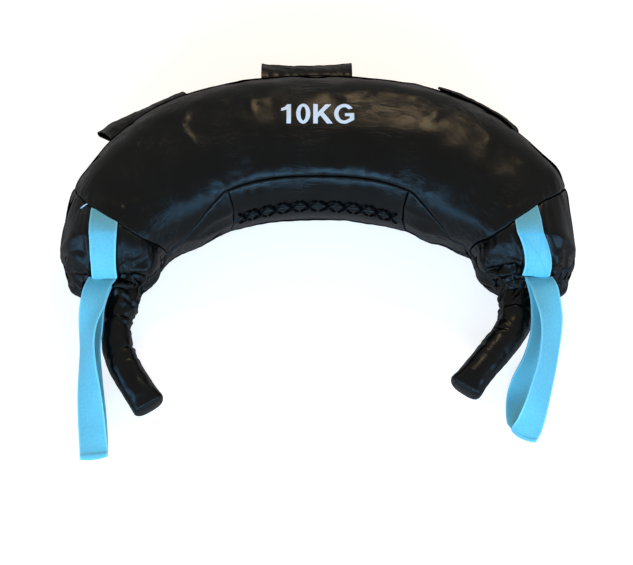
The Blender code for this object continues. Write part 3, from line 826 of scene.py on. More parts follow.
def surface(t, phi, lift):
    """Points on the leather as it lies, with its folds, at that lift, and their normals."""
    t = np.asarray(t, float)
    phi = np.asarray(phi, float)
    far = np.abs(t)
    base = plain_skin(t, phi)
    normal = outward(t, phi)
    flat, beside = under_strap(t, phi, base)
    lip = (far < CLOSURE_HALF) & (np.minimum(phi % 360, 360 - phi % 360) < GUSSET_HALF_ANGLE)
    free = (1 - 0.9 * flat) * np.where(lip, LIP_FREEDOM, 1.0)
    folds = folds_at(t, phi) * free[..., None]
    raised = sum(height * lumps(base, size, seed) for size, height, seed in LUMPS)
    groove = GROOVE["depth"] * bump(far, GROOVE["t"], GROOVE["reach"])
    cuff = CUFF["height"] * bump(far, CUFF["t"], CUFF["reach"])
    raised = raised - groove + cuff - PLEAT_DEPTH * pleat_depth(t, phi)
    raised = raised * free + beside + settled(t, phi, base, free)
    points = base + folds + normal * (raised + lift)[..., None]
    points[..., 2] = np.maximum(points[..., 2], 0.0)
    return points, normal


# Pieces
SMOOTH_ANGLE = 50.0
# distances from both edges of a panel at which it has a row of points, where it rolls in
EDGE_ROWS = (0.0, 0.0003, 0.0008, 0.0015, 0.0025, 0.0042)


def finish_piece(obj, name, finish, body, replaced=()):
    """Names a piece and gives it its finish, its body and the CAD nodes that it replaces."""
    obj.name = name
    obj.data.name = name
    obj.data.materials.clear()
    obj.data.materials.append(finish)
    select_only(obj)
    bpy.ops.object.shade_smooth_by_angle(angle=radians(SMOOTH_ANGLE))
    if body:
        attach(obj, body)
    if replaced:
        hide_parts(*replaced)


def apply_modifiers(obj):
    select_only(obj)
    for modifier in list(obj.modifiers):
        bpy.ops.object.modifier_apply(modifier=modifier.name)


def face_outwards(obj):
    select_only(obj)
    bpy.ops.object.mode_set(mode="EDIT")
    bpy.ops.mesh.select_all(action="SELECT")
    bpy.ops.mesh.normals_make_consistent(inside=False)
    bpy.ops.object.mode_set(mode="OBJECT")


def steps(length, spacing):
    """Shares from 0 to 1 of a length: close together at both edges, and evenly between."""
    inner = length - 2 * EDGE_ROWS[-1]
    count = max(2, round(inner / spacing))
    inside = [EDGE_ROWS[-1] + inner * k / count for k in range(1, count)]
    distances = [*EDGE_ROWS, *inside, *[length - e for e in reversed(EDGE_ROWS)]]
    return np.array(distances) / length


def cut_sheet(points, across, along, thickness, wear_and_highlight=None, closed=False):
    """A sheet through a grid of points, with its cut size in metres as UVs, or a closed tube."""
    rows, columns = points.shape[:2]
    bpy.ops.mesh.primitive_grid_add(x_subdivisions=rows - 1, y_subdivisions=columns - 1, size=1.0)
    obj = bpy.context.object
    mesh = obj.data
    grid = np.zeros(len(mesh.vertices) * 3, np.float32)
    mesh.vertices.foreach_get("co", grid)
    grid = grid.reshape(-1, 3)
    i = np.rint((grid[:, 0] + 0.5) * (rows - 1)).astype(int)
    j = np.rint((grid[:, 1] + 0.5) * (columns - 1)).astype(int)
    mesh.vertices.foreach_set("co", points[i, j].astype(np.float32).ravel())
    corners = np.zeros(len(mesh.loops), np.int32)
    mesh.loops.foreach_get("vertex_index", corners)
    mesh.uv_layers.active.name = "cut"
    cut = np.stack([across[i, j], along[i, j]], -1)[corners]
    mesh.uv_layers.active.data.foreach_set("uv", cut.astype(np.float32).ravel())
    # a mark of rubbed wear and painted highlight together, read by the leather's finish
    if wear_and_highlight is not None:
        rubbed_and_highlit = mesh.attributes.new("wear_and_highlight", "FLOAT", "POINT")
        rubbed_and_highlit.data.foreach_set("value", wear_and_highlight[i, j].astype(np.float32))
    mesh.update()
    if closed:
        bpy.ops.object.mode_set(mode="EDIT")
        bpy.ops.mesh.select_all(action="SELECT")
        bpy.ops.mesh.remove_doubles(threshold=1e-6)
        bpy.ops.object.mode_set(mode="OBJECT")
    if thickness:
        wall = obj.modifiers.new("wall", "SOLIDIFY")
        wall.thickness = thickness
        wall.offset = -1
        wall.use_even_offset = False
        apply_modifiers(obj)
    return obj


def run_of(points, axis):
    """Lengths from the first row, or column, to each point along the grid's lines."""
    gaps = np.linalg.norm(np.diff(points, axis=axis), axis=-1)
    start = np.zeros_like(np.take(gaps, [0], axis=axis))
    return np.concatenate([start, np.cumsum(gaps, axis=axis)], axis=axis)


ROLL = 0.0022
DRAWN_IN_REACH = 0.007
PUCKER_REACH = 0.011
# the paler band on each rolled seam edge, partly rubbed wear and partly painted highlight: its width
# and its most
WEAR_HIGHLIGHT_WIDTH = 0.0016
WEAR_HIGHLIGHT_MOST = 0.55


def rolled_in(distance, roll, pull):
    """How deep the leather lies that far from a seam: it rolls under, and is drawn in near it."""
    near = np.clip(roll - distance, 0, roll)
    rounded = roll - np.sqrt(np.maximum(0, roll**2 - near**2))
    return rounded + pull * np.exp(-distance / DRAWN_IN_REACH)


def pucker(distance, place, pitch, size, seed):
    """Ripples that run off a seam, fading over a finger's width."""
    wave = np.sin(2 * pi * place / pitch + 2.6 * ripple(place / pitch / 2.3, seed))
    strength = 0.55 + 0.45 * ripple(place / pitch / 3.1, seed + 5)
    reach = np.exp(-((distance / PUCKER_REACH) ** 1.3)) * smooth(distance, 0.0006, 0.004)
    return size * wave * strength * reach


def leather_panel(node, place, lengths, edges, spacing, fill):
    """A panel of the cover between its seams.

    lengths: about how long it is along u and v. edges: what lies at u 0, u 1, v 0 and v 1.
    spacing: from one of its points to the next. fill: how full its padding is; it is not used.
    """
    shares = [steps(length, spacing) for length in lengths]
    t, phi = place(*np.meshgrid(*shares, indexing="ij"))
    base = plain_skin(t, phi)
    run_u = run_of(base, 0)
    run_v = run_of(base, 1)
    distances = (run_u, run_u[-1:] - run_u, run_v, run_v[:, -1:] - run_v)
    places = [phi * PER_DEGREE] * 2 + [t * SEAM_PER_T] * 2
    lift = np.zeros_like(t)
    wear_and_highlight = np.zeros_like(t)
    for distance, edge, place_on in zip(distances, edges, places):
        roll, pull, pitch, size, seed = edge
        lift = np.minimum(lift, -rolled_in(distance, roll, pull)) if roll else lift
        if size:
            lift = lift + pucker(distance, place_on, pitch, size, seed)
        # the ridge where the edge rolls under is painted paler: partly rubbed wear, partly painted
        # highlight
        wear_and_highlight = np.maximum(wear_and_highlight, bump(distance, ROLL, WEAR_HIGHLIGHT_WIDTH) * (roll > 0))
    points, _ = surface(t, phi, lift)
    ragged = 0.5 + 0.5 * lumps(base, 0.008, 4.0)
    obj = cut_sheet(points, run_v, t * CUT_PER_T, LEATHER, WEAR_HIGHLIGHT_MOST * wear_and_highlight * ragged)
    finish_piece(obj, f"{node}_cover", leather, "bag", [node])
    return obj


# what lies at a seam: roll, pull, ripple pitch, ripple size, seed
END_EDGE = (ROLL, 0.0012, 0.013, 0.0007, 11)
GUSSET_EDGE = (ROLL, 0.0009, 0.016, 0.00045, 23)
RIM_EDGE = (ROLL, 0.0014, 0.0115, 0.0011, 37)
SIDE_EDGE = (ROLL, 0.0010, 0.012, 0.0006, 41)
SLIT_EDGE = (0.0011, 0.0005, 0.018, 0.0004, 53)
NECK_EDGE = (0.0, 0.0, 0.01, 0.0, 61)


def main_panel_place(under):
    def place(u, v):
        edge = gusset_foot if under else gusset_angle
        phi = 180 * v
        for _ in range(4):
            t = (2 * u - 1) * mix(end_seam(phi, -1), end_seam(phi, 1), u)
            phi = mix(edge(t), 180.0, v)
        return t, (360 - phi if under else phi)

    return place


def end_panel_place(sign, under):
    def place(u, v):
        phi = 180 * v
        t = mix(end_seam(phi, sign), PANEL_END, u)
        return sign * t, (360 - phi if under else phi)

    return place


def gusset_place(sign):
    def place(u, v):
        phi = mix(-gusset_foot(0.9), gusset_angle(0.9), v)
        for _ in range(3):
            t = mix(CLOSURE_HALF, end_seam(phi, sign), u)
            phi = mix(-gusset_foot(t), gusset_angle(t), v)
        return sign * t, phi

    return place


def lip_place(sign):
    def place(u, v):
        t = mix(-CLOSURE_HALF, CLOSURE_HALF, u)
        line = closure_line(t)
        edge = gusset_angle(t) if sign > 0 else -gusset_foot(t)
        return t, mix(line + sign * SLIT_HALF_ANGLE, edge, v)

    return place


def make_cover():
    """Every panel of the bag's cover; gives the front one, which carries the printed weight."""
    cut = {
        "lengths": (0.72, 0.24),
        "edges": (END_EDGE, END_EDGE, GUSSET_EDGE, RIM_EDGE),
        "spacing": 0.0032,
        "fill": 0.9,
    }
    front = leather_panel("front_panel", main_panel_place(False), **cut)
    leather_panel("back_panel", main_panel_place(True), **cut)
    for side, sign in SIDES.items():
        for face, under in (("front", False), ("back", True)):
            leather_panel(
                f"end_panel_{side}_{face}",
                end_panel_place(sign, under),
                lengths=(0.13, 0.2),
                edges=(END_EDGE, NECK_EDGE, SIDE_EDGE, SIDE_EDGE),
                spacing=0.0021,
                fill=0.7,
            )
        leather_panel(
            f"gusset_{side}",
            gusset_place(sign),
            lengths=(0.11, 0.07),
            edges=(GUSSET_EDGE,) * 4,
            spacing=0.0025,
            fill=0.9,
        )
    for name, sign in (("upper", 1), ("lower", -1)):
        leather_panel(
            f"closure_lip_{name}",
            lip_place(sign),
            lengths=(0.165, 0.042),
            edges=(GUSSET_EDGE, GUSSET_EDGE, SLIT_EDGE, GUSSET_EDGE),
            spacing=0.0021,
            fill=0.8,
        )
    return front


front_panel_cover = make_cover()

# What lies under the leather: how deep, and how thick
CUP_FILLING_LIFT = -0.0042
WADDING_LIFT = -0.0047
WADDING = 0.0026
BACKING_LIFT = -0.0024
BACKING = 0.0007
BACKING_HALF = 0.392
BACKING_HALF_ANGLE = 10.5


def make_stuffing(side, sign):
    """Wadding that fills a gathered cup, under the leather as it lies."""
    t, phi = np.meshgrid(np.linspace(1.0, 1.9, 16), np.linspace(0, 360, 49), indexing="ij")
    points, _ = surface(sign * t, phi, CUP_FILLING_LIFT)
    first = np.broadcast_to(points[0].mean(0), points[0].shape)
    last = np.broadcast_to(points[-1].mean(0), points[-1].shape)
    points = np.concatenate([first[None], points, last[None]], 0)
    flat = np.zeros(points.shape[:2])
    obj = cut_sheet(points, flat, flat, 0, closed=True)
    finish_piece(obj, f"end_wadding_{side}", wadding, "bag", [f"end_stuffing_{side}"])
    face_outwards(obj)


def make_wadding(face, under):
    """The thick layer between the sand and a panel, from the gusset to the outer seam."""
    u, v = np.meshgrid(np.linspace(-1, 1, 91), np.linspace(0, 1, 37), indexing="ij")
    t = 0.93 * u
    phi = mix(1.5 + 17 * np.maximum(0, 1 - (t / 0.5) ** 4), 178.5, v)
    points, _ = surface(t, 360 - phi if under else phi, WADDING_LIFT)
    obj = cut_sheet(points, v * 0.23, t * CUT_PER_T, WADDING)
    finish_piece(obj, f"body_wadding_{face}", wadding, "bag", [f"wadding_{face}"])


def make_backing():
    """The flap behind the lacing, which keeps the liner from showing in the slit; its black is
    painted shade in the slit.
    """
    u, v = np.meshgrid(np.linspace(-1, 1, 61), np.linspace(-1, 1, 15), indexing="ij")
    t = BACKING_HALF * u
    points, _ = surface(t, closure_line(t) + BACKING_HALF_ANGLE * v, BACKING_LIFT)
    obj = cut_sheet(points, v * 0.015, t * SEAM_PER_T, BACKING)
    # the black cloth stands in for the shade in the slit
    finish_piece(obj, "backing_flap", slit_shade_canvas, "bag", ["closure_backing"])


for side, sign in SIDES.items():
    make_stuffing(side, sign)
make_wadding("front", False)
make_wadding("back", True)
make_backing()


def catmull_rom(points, count):
    """Places on a smooth curve through the points, each a row of numbers."""
    ends = np.array([points[0], *points, points[-1]], float)
    curve = []
    for p0, p1, p2, p3 in zip(ends, ends[1:], ends[2:], ends[3:]):
        for k in range(count):
            u = k / count
            curve.append(
                p0 * (-0.5 * u**3 + u**2 - 0.5 * u)
                + p1 * (1.5 * u**3 - 2.5 * u**2 + 1)
                + p2 * (-1.5 * u**3 + 2 * u**2 + 0.5 * u)
                + p3 * (0.5 * u**3 - 0.5 * u**2)
            )
    curve.append(ends[-1])
    return np.array(curve)


def circle(level, up, angle):
    """Directions at those degrees, from level on towards up."""
    a = np.radians(angle)[..., None]
    return level * np.cos(a) + up * np.sin(a)


# Handles: the turn from straight ahead at the neck and at the cap, where it is bent, and its rise
HANDLE_LENGTH = 0.123
HANDLE_RADIUS = 0.0167
HANDLE_STEPS = 82
HANDLES = {
    "left": {"start": -2.0, "end": 34.0, "bend": (0.014, 0.088), "rise": -0.0215, "seed": 3.0},
    "right": {"start": 10.0, "end": 36.5, "bend": (0.0, 0.050), "rise": 0.004, "seed": 8.0},
}


def handle_route(side):
    """Centres and directions down the handle, from its pivot in the neck to the cap."""
    shape = HANDLES[side]
    sign = SIDES[side]
    here = np.array((sign * NECK[0], NECK[1], NECK[2]))
    stride = HANDLE_LENGTH / HANDLE_STEPS
    route = []
    for k in range(HANDLE_STEPS + 1):
        s = k * stride
        a = radians(mix(shape["start"], shape["end"], float(smooth(s, *shape["bend"]))))
        slope = shape["rise"] / HANDLE_LENGTH * 1.5 * (1 - abs(2 * s / HANDLE_LENGTH - 1) ** 2)
        forward = np.array((-sign * sin(a), -cos(a), slope))
        forward /= np.linalg.norm(forward)
        route.append((here, forward))
        here = here + forward * stride
    return route


def ring_axes(forward):
    """The level and the rising direction square to the way that a tube runs."""
    level = np.cross(forward, (0, 0, 1.0))
    level /= np.linalg.norm(level)
    return level, np.cross(level, forward)


# Distances along the handle from its pivot, and the sleeves' radii there, left and right: a funnel
# that is sewn round the cup's mouth, drawn in to a waist, and then the tube over the core
SLEEVE = (
    (-0.0226, 0.0215, 0.0208),
    (-0.0205, 0.0262, 0.0250),
    (-0.0165, 0.0284, 0.0256),
    (-0.0125, 0.0277, 0.0232),
    (-0.0080, 0.0252, 0.0212),
    (-0.0030, 0.0226, 0.0200),
    (0.0035, 0.0197, 0.0193),
    (0.0100, 0.0174, 0.0189),
    (0.0170, 0.0161, 0.0185),
    (0.0250, 0.0157, 0.0181),
    (0.0360, 0.0160, 0.0178),
    (0.0520, 0.0167, 0.0172),
    (0.0900, 0.0168, 0.0168),
    (0.1180, 0.0168, 0.0168),
)
# how much wider the mouth spreads over the cup at its sides, at the same distances
SKIRT = ((-0.0226, 0.0150), (-0.0205, 0.0118), (-0.0165, 0.0040), (-0.0120, 0.0))
SKIRT_SHARE = {"left": (0.82, 1.0), "right": (0.1, 1.0)}
TIP_ROUND = 0.0050
CAP_EDGE = 0.0120
CAP_WALL = 0.0009
FELT_GAP = 0.0036
# folds across the inside of the bend: distance from the pivot, size and tilt, and their depth
SLEEVE_FOLDS = (
    (0.0045, 1.0, 0.003),
    (0.0130, 1.2, -0.003),
    (0.027, 0.5, 0.004),
    (0.049, 0.9, -0.004),
    (0.068, 0.4, 0.002),
)
SLEEVE_FOLD_DEPTH = {"left": 0.0021, "right": 0.0014}
# the middle of the bend's inside, and the angle of the sleeve's long seam
BEND_INSIDE = {"left": -15, "right": 15}
LONG_SEAM = 262
# a sewn tip is wider than the tube and not as high, and its corners are rounded by this power
TIP_WIDE = 1.07
TIP_HIGH = 0.72
TIP_POWER = 2.6


def sleeve_creases(s, angle, side):
    """Pleats that run out of the mouth, folds across the inside of the bend, and the long seam."""
    seed = HANDLES[side]["seed"]
    a = np.radians(angle)
    turn = angle - 180 if side == "left" else angle
    turn = (turn + 180) % 360 - 180
    inner = bump(turn, BEND_INSIDE[side], 100)
    wave = np.sin(a * 8 + 3.0 * ripple(s / 0.014, seed) + 2.0 * np.sin(np.radians(angle + 40)))
    pleats = wave * bump(s, -0.006, 0.018)
    pleats = pleats + 0.6 * np.sin(a * 17 + 9 * s / 0.02 + seed) * bump(s, -0.010, 0.012)
    folds = 0
    for place, size, tilt in SLEEVE_FOLDS:
        off = s - place - tilt * turn / 60
        off = off - 0.0012 * np.sin(np.radians(2 * angle + 90 * place / 0.01))
        folds = folds - size * bump(off, 0.0, 0.0021) + 0.55 * size * bump(off, 0.0045, 0.0034)
    seam = bump((angle - LONG_SEAM + 180) % 360 - 180, 0.0, 4.0)
    return 0.0012 * pleats + SLEEVE_FOLD_DEPTH[side] * folds * inner - 0.0006 * seam


def tip_shape(angle, tip):
    """The share of its radius that a tube has where its end is sewn shut a little flat."""
    a = np.radians(angle)
    wide = np.abs(np.cos(a) / TIP_WIDE) ** TIP_POWER
    high = np.abs(np.sin(a) / TIP_HIGH) ** TIP_POWER
    return mix(1.0, (wide + high) ** (-1 / TIP_POWER), tip)


def sleeve_rings(side, route):
    """The rings down a sleeve: distances from the pivot, centres, directions and radii."""
    pivot, forward = route[0]
    end, end_forward = route[-1]
    mouth = np.array((SIDES[side] * CUP_MOUTH[0], CUP_MOUTH[1], CUP_MOUTH[2]))
    neck_way = (mouth - pivot) / np.linalg.norm(mouth - pivot)
    in_neck = np.array([SLEEVE[0][0], -0.0218, -0.0210, *np.arange(-0.0201, -0.0008, 0.0011)])
    neck_forwards = mix(-neck_way, forward, smooth(in_neck, -0.018, 0.002)[:, None])
    neck_forwards /= np.linalg.norm(neck_forwards, axis=1, keepdims=True)
    # the tip: a quarter round that turns the sleeve in to the edge of the cap
    turn = np.radians((12, 26, 40, 54, 68, 80, 90))
    straight = HANDLE_LENGTH - TIP_ROUND
    tip_s = straight + TIP_ROUND * np.sin(turn)
    stride = HANDLE_LENGTH / HANDLE_STEPS
    tube = route[: int(straight / stride) + 1]
    s = np.concatenate([in_neck, np.arange(len(tube)) * stride, tip_s])
    centres = np.concatenate(
        [
            pivot - neck_way * in_neck[:, None],
            [centre for centre, _ in tube],
            [end - end_forward * (HANDLE_LENGTH - x) for x in tip_s],
        ]
    )
    forwards = np.concatenate([neck_forwards, [way for _, way in tube], [end_forward] * len(turn)])
    curve = catmull_rom(SLEEVE, 8)
    radius = np.interp(s, curve[:, 0], curve[:, 1 if side == "left" else 2])
    radius[-len(turn) :] -= TIP_ROUND * (1 - np.cos(turn))
    return s, centres, forwards, radius[:, None]


def make_cap(side, centre, forward):
    """A disc sewn into the sleeve's rounded end, crowned by the core behind it."""
    profile = (
        (CAP_EDGE - 0.0016, -0.0024),
        (CAP_EDGE - 0.0004, -0.0014),
        (CAP_EDGE - 0.0002, -0.0004),
        (CAP_EDGE - 0.0010, 0.0004),
        (CAP_EDGE - 0.0030, 0.0009),
        (CAP_EDGE - 0.0060, 0.0013),
        (0.0, 0.0016),
    )
    angle = np.linspace(0, 360, 73)
    way = circle(*ring_axes(forward), angle)
    rings = []
    for r, out in profile:
        gather = 0.00030 * np.sin(np.radians(angle) * 17 + 1.3) * (r > 0.008)
        ring = centre + forward * out + way * (r * tip_shape(angle, 1.0) + gather)[:, None]
        rings.append(ring)
    rings = np.array(rings)
    rings[:, -1] = rings[:, 0]
    size = np.array([r for r, out in profile])[:, None]
    u = size * np.cos(np.radians(angle))
    v = size * np.sin(np.radians(angle))
    cap = cut_sheet(rings, u, v, CAP_WALL, closed=True)
    name = f"handle_end_cap_{side}"
    finish_piece(cap, name, leather, f"{side}_handle", [f"handle_cap_{side}"])


def make_handle(side):
    body = f"{side}_handle"
    route = handle_route(side)
    s, centres, forwards, radius = sleeve_rings(side, route)
    grid_s, grid_a = np.meshgrid(s, np.linspace(0, 360, 97), indexing="ij")
    a = np.radians(grid_a)
    on_top = np.maximum(0, np.sin(a))
    tip = smooth(grid_s, HANDLE_LENGTH - 0.018, HANDLE_LENGTH - 0.001)
    squared = tip_shape(grid_a, tip)
    low_top = 1 - 0.09 * on_top * (1 - smooth(grid_s, -0.016, 0.0))
    shares = mix(*SKIRT_SHARE[side], 0.5 - 0.5 * np.cos(a))
    spread = np.interp(grid_s, *zip(*SKIRT)) * shares * (1 - on_top**1.2)
    axes = np.array([ring_axes(ahead) for ahead in forwards])
    way = circle(axes[:, :1], axes[:, 1:], grid_a)
    plain = centres[:, None] + way * radius[..., None]
    rough = 0.0008 * lumps(plain, 0.019, HANDLES[side]["seed"]) + 0.0005 * lumps(plain, 0.008, 5.0)
    relief = sleeve_creases(grid_s, grid_a, side) + rough
    relief = relief * (1 - smooth(grid_s, HANDLE_LENGTH - 0.004, HANDLE_LENGTH - 0.0002))
    rings = centres[:, None] + way * (radius * squared * low_top + spread + relief)[..., None]
    rings[:, -1] = rings[:, 0]
    rings[..., 2] = np.maximum(rings[..., 2], 0.0004)
    across = grid_a / 360 * 2 * pi * HANDLE_RADIUS
    obj = cut_sheet(rings, across, grid_s, LEATHER, closed=True)
    finish_piece(obj, f"handle_cover_{side}", leather, None, [f"handle_sleeve_{side}"])
    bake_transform(obj)

    # the rolled felt that fills it, shaped by its flattened tip
    size = radius * squared - FELT_GAP + np.minimum(relief, 0.0)
    inside = centres[:, None] + way * size[..., None]
    inside = inside[(s > 0.002) & (s < HANDLE_LENGTH - FELT_GAP)]
    poles = [np.broadcast_to(ring.mean(0), ring.shape)[None] for ring in (inside[0], inside[-1])]
    inside = np.concatenate([poles[0], inside, poles[1]])
    inside[:, -1] = inside[:, 0]
    flat = np.zeros(inside.shape[:2])
    core = cut_sheet(inside, flat, flat, 0, closed=True)
    finish_piece(core, f"felt_roll_{side}", felt, body, [f"handle_core_{side}"])
    make_cap(side, *route[-1])


for side in SIDES:
    make_handle(side)

# Webbing: the sewn-down anchors and the hand loops
STITCH_LINE_Y = -0.0659
ANCHOR_LIFT = 0.0034
ANCHOR_SLANT = {"left": 0.011, "right": 0.004}
LOOP_TIP_ROUND = {"left": 0.0012, "right": 0.0045}
STITCH_LENGTH = 0.0026
STITCH_GAP = 0.0007
THREAD_RADIUS = 0.00035
# the white strand at the left end seam, a loose thread end whose white also paints a glint: its
# thickness and length
THREAD_GLINT_RADIUS = 0.00055
THREAD_GLINT_LENGTH = 0.0075
# along a stitch: share of its length, share of its thickness, and its height in thicknesses
STITCH_SHAPE = (
    (0.0, 0.0, -0.6),
    (0.06, 0.75, -0.2),
    (0.3, 1.0, 0.45),
    (0.7, 1.0, 0.45),
    (0.94, 0.75, -0.2),
    (1.0, 0.0, -0.6),
)
STITCH_SIDES = 6
# points down the loops' middle line and back: outwards from the strap, past the stitch line,
# height, and in degrees how far the tape is rolled and turned there
LOOPS = {
    "left": (
        (0.0004, 0.0028, 0.0736, 0, 0),
        (0.0056, -0.0112, 0.0742, 4, 0),
        (0.0094, -0.0300, 0.0700, 15, 0),
        (0.0134, -0.0490, 0.0600, 43, 0),
        (0.0145, -0.0670, 0.0510, 54, 0),
        (0.0140, -0.0870, 0.0410, 48, 0),
        (0.0120, -0.1090, 0.0300, 32, 0),
        (0.0095, -0.1320, 0.0190, 16, 0),
        (0.0068, -0.1560, 0.0090, 5, 4),
        (0.0056, -0.1684, 0.0048, 0, 7),
        (0.0053, -0.1732, 0.0045, 0, 7),
        (0.0053, -0.1757, 0.0028, 0, 7),
        (0.0053, -0.1732, 0.0012, 0, 7),
        (0.0056, -0.1684, 0.0011, 0, 7),
        (0.0068, -0.1520, 0.0011, 0, 3),
        (0.0090, -0.1290, 0.0035, 8, 0),
        (0.0110, -0.1070, 0.0090, 24, 0),
        (0.0126, -0.0850, 0.0155, 36, 0),
        (0.0118, -0.0650, 0.0305, 46, 0),
        (0.0102, -0.0470, 0.0420, 44, 0),
        (0.0108, -0.0300, 0.0540, 28, 0),
        (0.0078, -0.0140, 0.0640, 10, 0),
        (0.0004, 0.0028, 0.0718, 0, 0),
    ),
    "right": (
        (0.0024, 0.0030, 0.0736, 0, 0),
        (0.0072, -0.0092, 0.0745, 3, 0),
        (0.0105, -0.0250, 0.0710, 15, 0),
        (0.0135, -0.0410, 0.0640, 30, 0),
        (0.0130, -0.0600, 0.0545, 42, 0),
        (0.0090, -0.0840, 0.0440, 46, 0),
        (0.0030, -0.1050, 0.0350, 42, 4),
        (-0.0040, -0.1270, 0.0240, 34, 12),
        (-0.0105, -0.1415, 0.0125, 20, 22),
        (-0.0160, -0.1485, 0.0060, 6, 28),
        (-0.0178, -0.1510, 0.0046, 0, 30),
        (-0.0185, -0.1527, 0.0028, 0, 30),
        (-0.0182, -0.1505, 0.0012, 0, 28),
        (-0.0184, -0.1455, 0.0011, 0, 24),
        (-0.0188, -0.1370, 0.0011, 0, 15),
        (-0.0186, -0.1200, 0.0012, 0, 6),
        (-0.0165, -0.1000, 0.0030, 5, 0),
        (-0.0110, -0.0840, 0.0100, 20, 0),
        (-0.0030, -0.0700, 0.0210, 34, 0),
        (0.0030, -0.0540, 0.0350, 38, 0),
        (0.0065, -0.0360, 0.0490, 30, 0),
        (0.0072, -0.0170, 0.0630, 8, 0),
        (0.0024, 0.0030, 0.0718, 0, 0),
    ),
}


def stitch_places(routes, length):
    """Both ends and the normal of each stitch, after a gap each, along those routes."""
    pitch = length + STITCH_GAP
    places = []
    for points, normals in routes:
        run = run_of(points[:, None], 0)[:, 0]
        count = max(1, int(run[-1] / pitch))
        for k in range(count):
            ends = np.array((k, k + 1 - STITCH_GAP / pitch)) + 0.5 * STITCH_GAP / pitch
            ends = ends / count * run[-1]
            reads = ((ends[0], points), (ends[1], points), (ends.mean(), normals))
            a, b, n = (
                np.array([np.interp(at, run, values[:, c]) for c in range(3)])
                for at, values in reads
            )
            places.append((a, b, n / np.linalg.norm(n)))
    return places


def stitches(name, routes, radius, finish, length=STITCH_LENGTH):
    """Sewing thread lying on a surface: a short, raised stitch after each gap along each route."""
    vertices = []
    faces = []
    for a, b, n in stitch_places(routes, length):
        start = len(vertices)
        across = np.cross(b - a, n)
        across /= np.linalg.norm(across)
        for share, wide, high in STITCH_SHAPE:
            middle = mix(a, b, share) + n * radius * high
            for k in range(STITCH_SIDES):
                turn = 2 * pi * k / STITCH_SIDES
                way = across * cos(turn) + n * sin(turn)
                vertices.append(middle + way * radius * max(wide, 0.15))
        for i in range(len(STITCH_SHAPE) - 1):
            row = start + i * STITCH_SIDES
            ahead = row + STITCH_SIDES
            for k in range(STITCH_SIDES):
                m = (k + 1) % STITCH_SIDES
                faces.append((row + k, row + m, ahead + m, ahead + k))
        last = start + (len(STITCH_SHAPE) - 1) * STITCH_SIDES
        faces.append(tuple(start + k for k in reversed(range(STITCH_SIDES))))
        faces.append(tuple(last + k for k in range(STITCH_SIDES)))
    mesh = bpy.data.meshes.new(name)
    mesh.from_pydata([tuple(map(float, p)) for p in vertices], [], faces)
    obj = bpy.data.objects.new(name, mesh)
    scene.collection.objects.link(obj)
    face_outwards(obj)
    finish_piece(obj, name, finish, "bag")


def phi_at_x(t, x):
    """The angle on the upper side at which the section at t is that far from the middle."""
    low = np.full(np.shape(t), 5.0)
    high = np.full(np.shape(t), 175.0)
    for _ in range(30):
        middle = (low + high) / 2
        short = plain_skin(t, middle)[..., 0] < x
        low = np.where(short, middle, low)
        high = np.where(short, high, middle)
    return (low + high) / 2


def anchor_place(side, u, v):
    """A place on the sewn-down strap: u down it from the end seam, v across it, -0.5 to 0.5."""
    x = strap_line(side, u, v + 0.5)
    lower = (0.5 - v) * ANCHOR_SLANT[side]
    top = end_seam(phi_at_x(np.full(np.shape(x), 0.92), x), SIDES[side]) - 0.003 + lower
    t = mix(top, STRAP_FOOT_T[side], u)
    return t, phi_at_x(t, x)


def make_anchor(side):
    """The strap that is sewn down on the cup, with its stitched box, cross and foot."""
    sign = SIDES[side]
    u, v = np.meshgrid(np.linspace(0, 1, 34), np.linspace(-0.5, 0.5, 15), indexing="ij")
    t, phi = anchor_place(side, u, v)
    tuck = -0.0042 * bump(u, 0.0, 0.035)
    edge = -0.0005 * (np.abs(v) > 0.49)
    points, _ = surface(sign * t, phi, ANCHOR_LIFT + tuck + edge)
    obj = cut_sheet(points, v * WEBBING_WIDTH, run_of(points, 0), 2 * WEBBING)
    finish_piece(obj, f"strap_anchor_{side}_tape", webbing, "bag", [f"strap_anchor_{side}"])

    def line(u0, v0, u1, v1):
        share = np.linspace(0, 1, 24)
        t, phi = anchor_place(side, mix(u0, u1, share), mix(v0, v1, share))
        return surface(sign * t, phi, ANCHOR_LIFT)

    box = ((0.13, -0.39), (0.95, -0.39), (0.95, 0.39), (0.13, 0.39))
    routes = [line(*a, *b) for a, b in zip(box, [*box[1:], box[0]])]
    routes += [line(*box[0], *box[2]), line(*box[1], *box[3])]
    routes += [line(0.985, -0.47, 0.985, 0.47)]
    stitches(f"strap_stitching_{side}", routes, THREAD_RADIUS, blue_thread)


